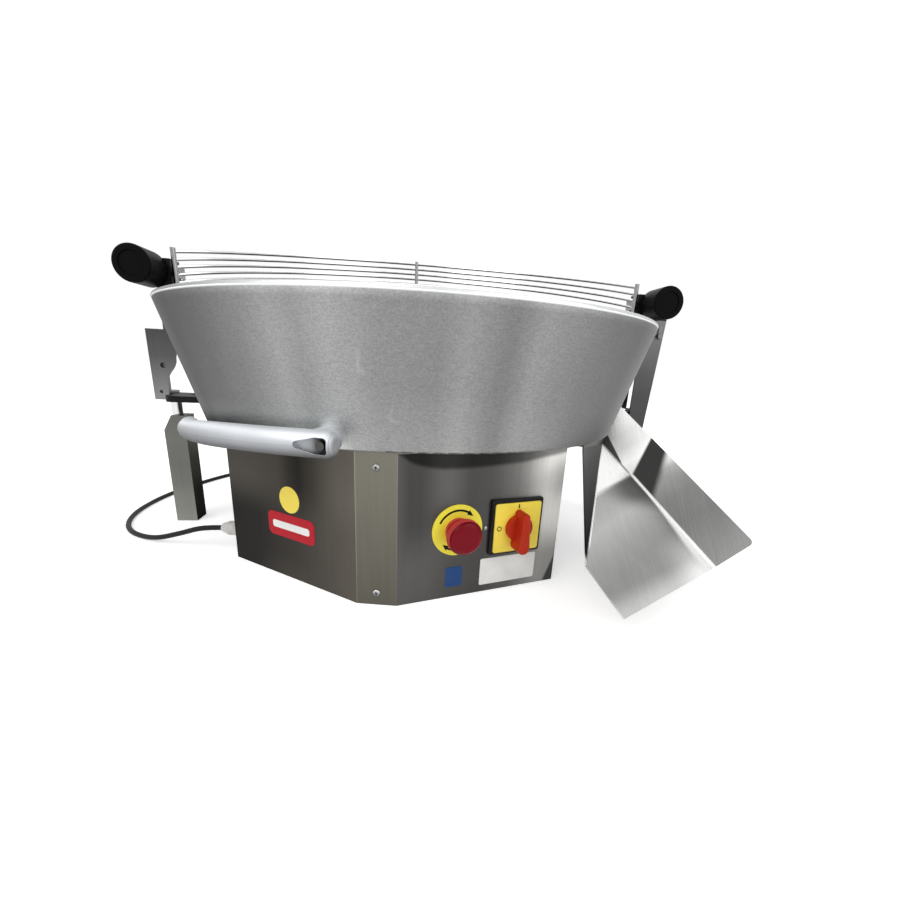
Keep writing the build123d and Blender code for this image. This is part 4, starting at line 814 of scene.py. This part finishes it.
def control_face(along, height, out=0.0):
    """Frame on the control panel, counted from the front strip's right edge."""
    low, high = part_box("front_strip")
    made = standing((high.x, low.y, 0), JOINTS["switch_turn"]["axis"])
    return made @ Matrix.Translation((along, height, out))


def left_face(along, height, out=0.0):
    """Frame on the left panel, counted from its left edge."""
    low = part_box("front_strip")[0]
    side, front, _ = JOINTS["switch_turn"]["axis"]
    made = standing((low.x, low.y, 0), (-side, front, 0))
    return made @ Matrix.Translation((along - PANEL_WIDTH, height, out))


class ROUNDER_OT_stage(bpy.types.Operator):
    """Make the camera, the white surroundings, the lamps and the floor"""

    bl_idname = "rounder.stage"
    bl_label = "Stage"

    def execute(self, context):
        scene = context.scene
        scene.view_settings.view_transform = "Standard"
        self.camera(scene)
        self.surroundings(scene)
        for settings in LAMPS:
            self.lamp(scene, *settings)
        self.floor(context)
        return {"FINISHED"}

    def camera(self, scene):
        view = bpy.data.cameras.new("camera")
        view.sensor_width = CAMERA_SENSOR
        view.lens = CAMERA_LENS
        view.shift_x, view.shift_y = CAMERA_SHIFT
        view.clip_start = CAMERA_NEAR
        shown = bpy.data.objects.new("camera", view)
        axes = Matrix((CAMERA_RIGHT, -Vector(CAMERA_DOWN), -Vector(CAMERA_FORWARD))).transposed()
        shown.matrix_world = Matrix.Translation(CAMERA_SPOT) @ axes.to_4x4()
        scene.collection.objects.link(shown)
        scene.camera = shown

    def surroundings(self, scene):
        scene.world = bpy.data.worlds.new("surroundings")
        scene.world.use_nodes = True
        net = Net(scene.world.node_tree)
        white = net.rise(net.seen(), 0.0, 1.0, SURROUNDINGS_LIGHT, 1.0)
        shader = net.add("Background", {}, {"Color": (1, 1, 1, 1), "Strength": white})
        net.add("OutputWorld", {}, {"Surface": shader})

    def lamp(self, scene, name, spot, width, power):
        light = bpy.data.lights.new(name, "AREA")
        light.size = width
        light.energy = power
        shown = bpy.data.objects.new(name, light)
        shown.location = spot
        shown.rotation_euler = (LAMP_TARGET - Vector(spot)).to_track_quat("-Z", "Y").to_euler()
        scene.collection.objects.link(shown)

    def floor(self, context):
        half = context.scene.rounder_sizes.floor / 2
        data = plate("floor", ((-half, -half), (half, -half), (half, half), (-half, half)),
                     Matrix.Translation((0, 0, -FLOOR_THICKNESS)), FLOOR_THICKNESS)
        data.materials.append(finish("floor", white_floor, context.scene.rounder_colours.floor))
        shown = bpy.data.objects.new("floor", data)
        context.scene.collection.objects.link(shown)


class ROUNDER_OT_cord(bpy.types.Operator):
    """Lay the cord from the gland round to a coil behind the base, with its plug"""

    bl_idname = "rounder.cord"
    bl_label = "Cord"

    def execute(self, context):
        sizes, colours = context.scene.rounder_sizes, context.scene.rounder_colours
        rubber = finish("cord_rubber", plastic, colours.cord, 0.5, 0.2)
        spots = self.route(sizes)
        cord = piece("cord", self.line(spots, sizes.cord), rubber, "base")
        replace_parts(cord, "mains_cord")
        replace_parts(cord, "cord_coil")
        dress(["mains_plug"], rubber)
        dress(["coil_tie"], finish("tie_plastic", plastic, colours.black, 0.4))
        dress(["cord_gland"], finish("gland_plastic", plastic, colours.gland, 0.45))
        return {"FINISHED"}

    def line(self, spots, thick):
        """A round curve along the route."""
        made = bpy.data.curves.new("cord", "CURVE")
        made.dimensions = "3D"
        made.bevel_depth = thick / 2
        made.bevel_resolution = 5
        made.use_fill_caps = True
        spline = made.splines.new("NURBS")
        spline.points.add(len(spots) - 1)
        for point, spot in zip(spline.points, spots):
            point.co = (*spot, 1)
        spline.order_u = 3
        spline.use_endpoint_u = True
        spline.resolution_u = 6
        return made

    def route(self, sizes):
        """The cord's line: out of the gland, round the left side, into the coil and on to the plug."""
        low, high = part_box("cord_gland")
        gland_y, gland_z = (low.y + high.y) / 2, (low.z + high.z) / 2
        low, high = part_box("mains_plug")
        plug_x, plug_z = low.x + PLUG_INSERT, (low.z + high.z) / 2
        lay = sizes.cord / 2 + BENCH_GAP
        coil_x, coil_y = COIL_SPOT
        start = coil_y + sizes.coil / 2
        spots = [(CORD_EXIT_X, gland_y, gland_z), (CORD_EXIT_X - 0.048, gland_y, gland_z), CORD_DROP]
        spots += [(x, y, lay) for x, y in CORD_RUN]
        spots += [(coil_x - 0.072, start - 0.004, lay), (coil_x - 0.024, start, lay)]
        # The curve runs inside its points, which so stand a little wider than the coil.
        wide = sizes.coil / 2 * 8 / (6 + 2 * cos(tau / COIL_STEPS))
        rise = sizes.cord + COIL_GAP
        for step in range(COIL_STEPS * COIL_TURNS + 1):
            angle = tau * step / COIL_STEPS
            height = lay + rise * step / COIL_STEPS
            spots.append((coil_x + wide * sin(angle), coil_y + wide * cos(angle), height))
        spots += [(coil_x + 0.036, start, lay + rise * COIL_TURNS), (coil_x + 0.074, start + 0.001, 0.025),
                  (coil_x + 0.108, start, plug_z), (plug_x, start, plug_z)]
        return spots


class ROUNDER_OT_bowl(bpy.types.Operator):
    """Finish the bowl and its rolled edge, painted bright as a highlight"""

    bl_idname = "rounder.bowl"
    bl_label = "Bowl"

    def execute(self, context):
        colours = context.scene.rounder_colours
        reach, _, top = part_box("bowl")[1]
        dress(["bowl"], finish("bowl_steel", bowl_steel, colours.bowl, colours.rim, top))
        half = RIM_WIDTH / 2 + RIM_PROUD
        middle, foot = reach - RIM_WIDTH / 2, top - RIM_WIDTH / 2
        arc = bent(half, [pi * step / RIM_STEPS for step in range(RIM_STEPS + 1)])
        # A smooth ring over the rolled edge, painted bright as a highlight
        rim = ring("bowl_rim", [(middle + x, foot + y) for x, y in arc])
        piece("bowl_rim", rim, finish("rim_steel", rim_steel, colours.rim), "base")
        return {"FINISHED"}


class ROUNDER_OT_base(bpy.types.Operator):
    """Finish the base and put its screws and blank stickers on"""

    bl_idname = "rounder.base"
    bl_label = "Base"

    def execute(self, context):
        sizes, colours = context.scene.rounder_sizes, context.scene.rounder_colours
        back = finish("base_steel", sheet_steel, colours.base, 0.38, BASE_LINES)
        dress(["rear_cover", "deck_plate"], back)
        dress(["control_panel"], finish("control_steel", control_sheet, colours.control, control_face(0, 0)))
        dress(["left_panel"], finish("left_steel", left_sheet, colours.panel, left_face(0, 0)))
        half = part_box("front_strip")[1].x
        dress(["front_strip"], finish("strip_steel", strip_sheet, colours.strip, half))
        inner = finish("frame_steel", sheet_steel, colours.column, 0.45, FRAME_LINES)
        dress(["base_pan", "base_frame"], inner)
        self.screws(colours)
        paper = finish("sticker_white", plastic, colours.paper, 0.5)
        blue = finish("sticker_blue", plastic, colours.blue, 0.5, 0.15)
        yellow = finish("sticker_yellow", plastic, colours.yellow, 0.45)
        red = finish("sticker_red", plastic, colours.sticker, 0.5, 0.15)
        thick = sizes.sticker
        for name, outline, at, made in (
                ("rating_sticker", rounded(*RATING_STICKER), control_face(*RATING_SPOT), paper),
                ("small_sticker", rounded(*SMALL_STICKER), control_face(*SMALL_SPOT), blue),
                ("round_sticker", disc(ROUND_STICKER), left_face(*ROUND_SPOT), yellow),
                ("red_sticker", rounded(*RED_STICKER), left_face(*RED_SPOT), red),
                ("red_sticker_field", rounded(*RED_FIELD), left_face(*RED_SPOT, thick), paper)):
            piece(name, plate(name, outline, at, thick), made, "base")
        return {"FINISHED"}

    def screws(self, colours):
        """Domed heads: two on the front strip with a cross recess, a dark plate of painted shade, and a small
        plain one by the switch.
        """
        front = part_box("front_strip")[0].y
        strip = [standing((0, front, height), (0, -1, 0)) for height in SCREW_HEIGHTS]
        small = control_face(*SMALL_SCREW_SPOT) @ Matrix.Scale(SMALL_SCREW_SHARE, 4)
        # The heads get painted shade on their undersides
        zinc = finish("zinc_screw", bright_steel, colours.bright, 0.3, 0.25)
        heads = turned("screw_heads", [*strip, small], SCREW_PROFILE)
        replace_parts(piece("screw_heads", heads, zinc, "base"), "panel_screws")
        # Dark plates of painted shade for the cross recesses
        dim = finish("screw_recess", paint, colours.black, 0.6, 0.1)
        sink = Matrix.Translation((0, 0, SCREW_PROFILE[-1][1] - RECESS_SINK))
        for number, at in enumerate(strip):
            name = "screw_recess_" + str(number)
            turn = Matrix.Rotation(RECESS_TURN + number, 4, "Z")
            recess = plate(name, cross(RECESS_REACH, RECESS_WIDTH), at @ sink @ turn, RECESS_THICKNESS)
            piece(name, recess, dim, "base")


class ROUNDER_OT_controls(bpy.types.Operator):
    """Finish the stop button and the main switch and put their plain marks on"""

    bl_idname = "rounder.controls"
    bl_label = "Controls"

    def execute(self, context):
        sizes, colours = context.scene.rounder_sizes, context.scene.rounder_colours
        yellow = finish("yellow_plate", plastic, colours.yellow, 0.42)
        black = finish("black_plastic", plastic, colours.black, 0.42, 0.2)
        dress(["switch_plate"], yellow)
        dress(["estop_legend"], finish("legend_yellow", plastic, colours.legend, 0.42, 0.3))
        dress(["estop_contacts", "switch_frame", "switch_body"], black)
        dress(["estop_collar"], finish("collar_red", plastic, colours.collar, 0.35, 0.2))
        dress(["estop_plunger"], finish("plunger_plastic", plastic, colours.black, 0.5))
        stop = finish("stop_red", stop_plastic, colours.stop, colours.collar, JOINTS["estop_twist"]["axis"])
        dress(["estop_head"], stop)
        dress(["switch_handle"], finish("switch_red", plastic, colours.switch, 0.4, 0.15))
        ink = finish("mark_ink", plastic, colours.black, 0.6, 0.1)
        along, height, out = SWITCH_SPOT
        bar_at = control_face(along, height + ON_MARK_RISE, out)
        bar = plate("mark_on", rounded(*ON_MARK), bar_at, sizes.sticker)
        piece("mark_on", bar, ink, "base")
        loop_at = control_face(along - OFF_MARK_LEFT, height, out)
        loop = plate("mark_off", hoop(OFF_MARK_RADIUS, OFF_MARK_WIDTH), loop_at, sizes.sticker / 3)
        piece("mark_off", loop, ink, "base")
        for name, start in TURN_MARK_STARTS.items():
            outline = arrow(TURN_MARK_RADIUS, start, TURN_MARK_SWEEP, TURN_MARK_WIDTH)
            made = plate(name, outline, control_face(*STOP_SPOT), sizes.sticker)
            piece(name, made, ink, "base")
        return {"FINISHED"}


class ROUNDER_OT_stand(bpy.types.Operator):
    """Finish the columns, posts, arms, uprights, braces, clips and knobs"""

    bl_idname = "rounder.stand"
    bl_label = "Stand"

    def execute(self, context):
        colours = context.scene.rounder_colours
        column = finish("column_steel", column_sheet, colours.column)
        chrome = finish("chrome_post", bright_steel, colours.bright, 0.14)
        black = finish("black_steel", paint, colours.black, 0.5, 0.15)
        clip = finish("clip_steel", bright_steel, colours.clip, 0.3)
        alloy = finish("cast_alloy", brace_alloy, colours.alloy)
        knob = finish("black_knob", plastic, colours.black, 0.4, 0.03)
        for side in ("left", "right"):
            plate_steel = finish(
                side + "_plate", upright_plate, colours.upright, colours.black, UPRIGHT_PAINTED_SHADES[side])
            dress([side + "_column", side + "_column_foot"], column)
            dress([side + "_upright", side + "_upright_bracket"], plate_steel)
            dress([side + "_post"], chrome)
            dress([side + "_arm"], black)
            dress([side + "_knob"], knob)
            dress([side + "_clip"], clip)
        dress(["front_brace", "rear_brace"], alloy)
        # The bolts take the hanger's dark steel as painted shade in their pockets
        dress(["brace_bolts"], finish("brace_bolt", bright_steel, colours.bracket, 0.35))
        return {"FINISHED"}


class ROUNDER_OT_guard(bpy.types.Operator):
    """Finish the guard's wires"""

    bl_idname = "rounder.guard"
    bl_label = "Guard"

    def execute(self, context):
        wire = context.scene.rounder_colours.wire
        # The wires get painted shade on their undersides
        dress(["guard"], finish("guard_wire", bright_steel, wire, 0.2, 0.1))
        return {"FINISHED"}


class ROUNDER_OT_outlet(bpy.types.Operator):
    """Finish the outlet's hood, the chute and its hanger"""

    bl_idname = "rounder.outlet"
    bl_label = "Outlet"

    def execute(self, context):
        colours = context.scene.rounder_colours
        dress(["chute"], finish("chute_steel", chute_sheet, colours.chute))
        dress(["chute_bracket"], finish("bracket_steel", sheet_steel, colours.bracket, 0.4, PLATE_LINES))
        dress(["outlet_hood"], finish("hood_black", paint, colours.black, 0.5, 0.15))
        return {"FINISHED"}


class ROUNDER_OT_drum(bpy.types.Operator):
    """Finish the drum, its spiral flight and its knob"""

    bl_idname = "rounder.drum"
    bl_label = "Drum"

    def execute(self, context):
        colours = context.scene.rounder_colours
        dress(["rounding_drum", "spiral_flight"], finish("drum_alloy", cast_alloy, colours.drum, 0.38))
        dress(["drum_knob"], finish("drum_knob", plastic, colours.black, 0.25))
        return {"FINISHED"}


class ROUNDER_OT_drive(bpy.types.Operator):
    """Finish the drive inside the base"""

    bl_idname = "rounder.drive"
    bl_label = "Drive"

    def execute(self, context):
        colours = context.scene.rounder_colours
        dress(["gearbox", "motor_body", "fan_cover"], finish("motor_paint", paint, colours.motor, 0.45))
        dress(["bearing_housing"], finish("cast_housing", cast_alloy, colours.column, 0.5))
        dress(["drive_shaft", "lower_bearing", "upper_bearing", "motor_rotor"],
              finish("machined_steel", bright_steel, colours.bright, 0.22))
        dress(["shaft_seal"], finish("seal_rubber", plastic, colours.cord, 0.6))
        dress(["contactor"], finish("relay_plastic", plastic, colours.column, 0.45))
        return {"FINISHED"}


class ROUNDER_PT_panel(bpy.types.Panel):
    """Settings and steps of the rounder"""

    bl_idname = "ROUNDER_PT_panel"
    bl_label = "Dough rounder"
    bl_space_type = "VIEW_3D"
    bl_region_type = "UI"
    bl_category = "Rounder"

    def draw(self, context):
        for group in (context.scene.rounder_sizes, context.scene.rounder_colours):
            box = self.layout.box()
            for name in group.__annotations__:
                box.prop(group, name)
        for step in STEPS:
            self.layout.operator(step.bl_idname)


STEPS = (
    ROUNDER_OT_stage,
    ROUNDER_OT_cord,
    ROUNDER_OT_bowl,
    ROUNDER_OT_base,
    ROUNDER_OT_controls,
    ROUNDER_OT_stand,
    ROUNDER_OT_guard,
    ROUNDER_OT_outlet,
    ROUNDER_OT_drum,
    ROUNDER_OT_drive,
)
CLASSES = (RounderColours, RounderSizes, *STEPS, ROUNDER_PT_panel)


def register():
    for made in CLASSES:
        bpy.utils.register_class(made)
    bpy.types.Scene.rounder_colours = bpy.props.PointerProperty(type=RounderColours)
    bpy.types.Scene.rounder_sizes = bpy.props.PointerProperty(type=RounderSizes)


def unregister():
    del bpy.types.Scene.rounder_sizes
    del bpy.types.Scene.rounder_colours
    for made in reversed(CLASSES):
        bpy.utils.unregister_class(made)


def main():
    register()
    bpy.ops.rounder.stage()
    bpy.ops.rounder.cord()
    bpy.ops.rounder.bowl()
    bpy.ops.rounder.base()
    bpy.ops.rounder.controls()
    bpy.ops.rounder.stand()
    bpy.ops.rounder.guard()
    bpy.ops.rounder.outlet()
    bpy.ops.rounder.drum()
    bpy.ops.rounder.drive()


if __name__ == "__main__":
    main()
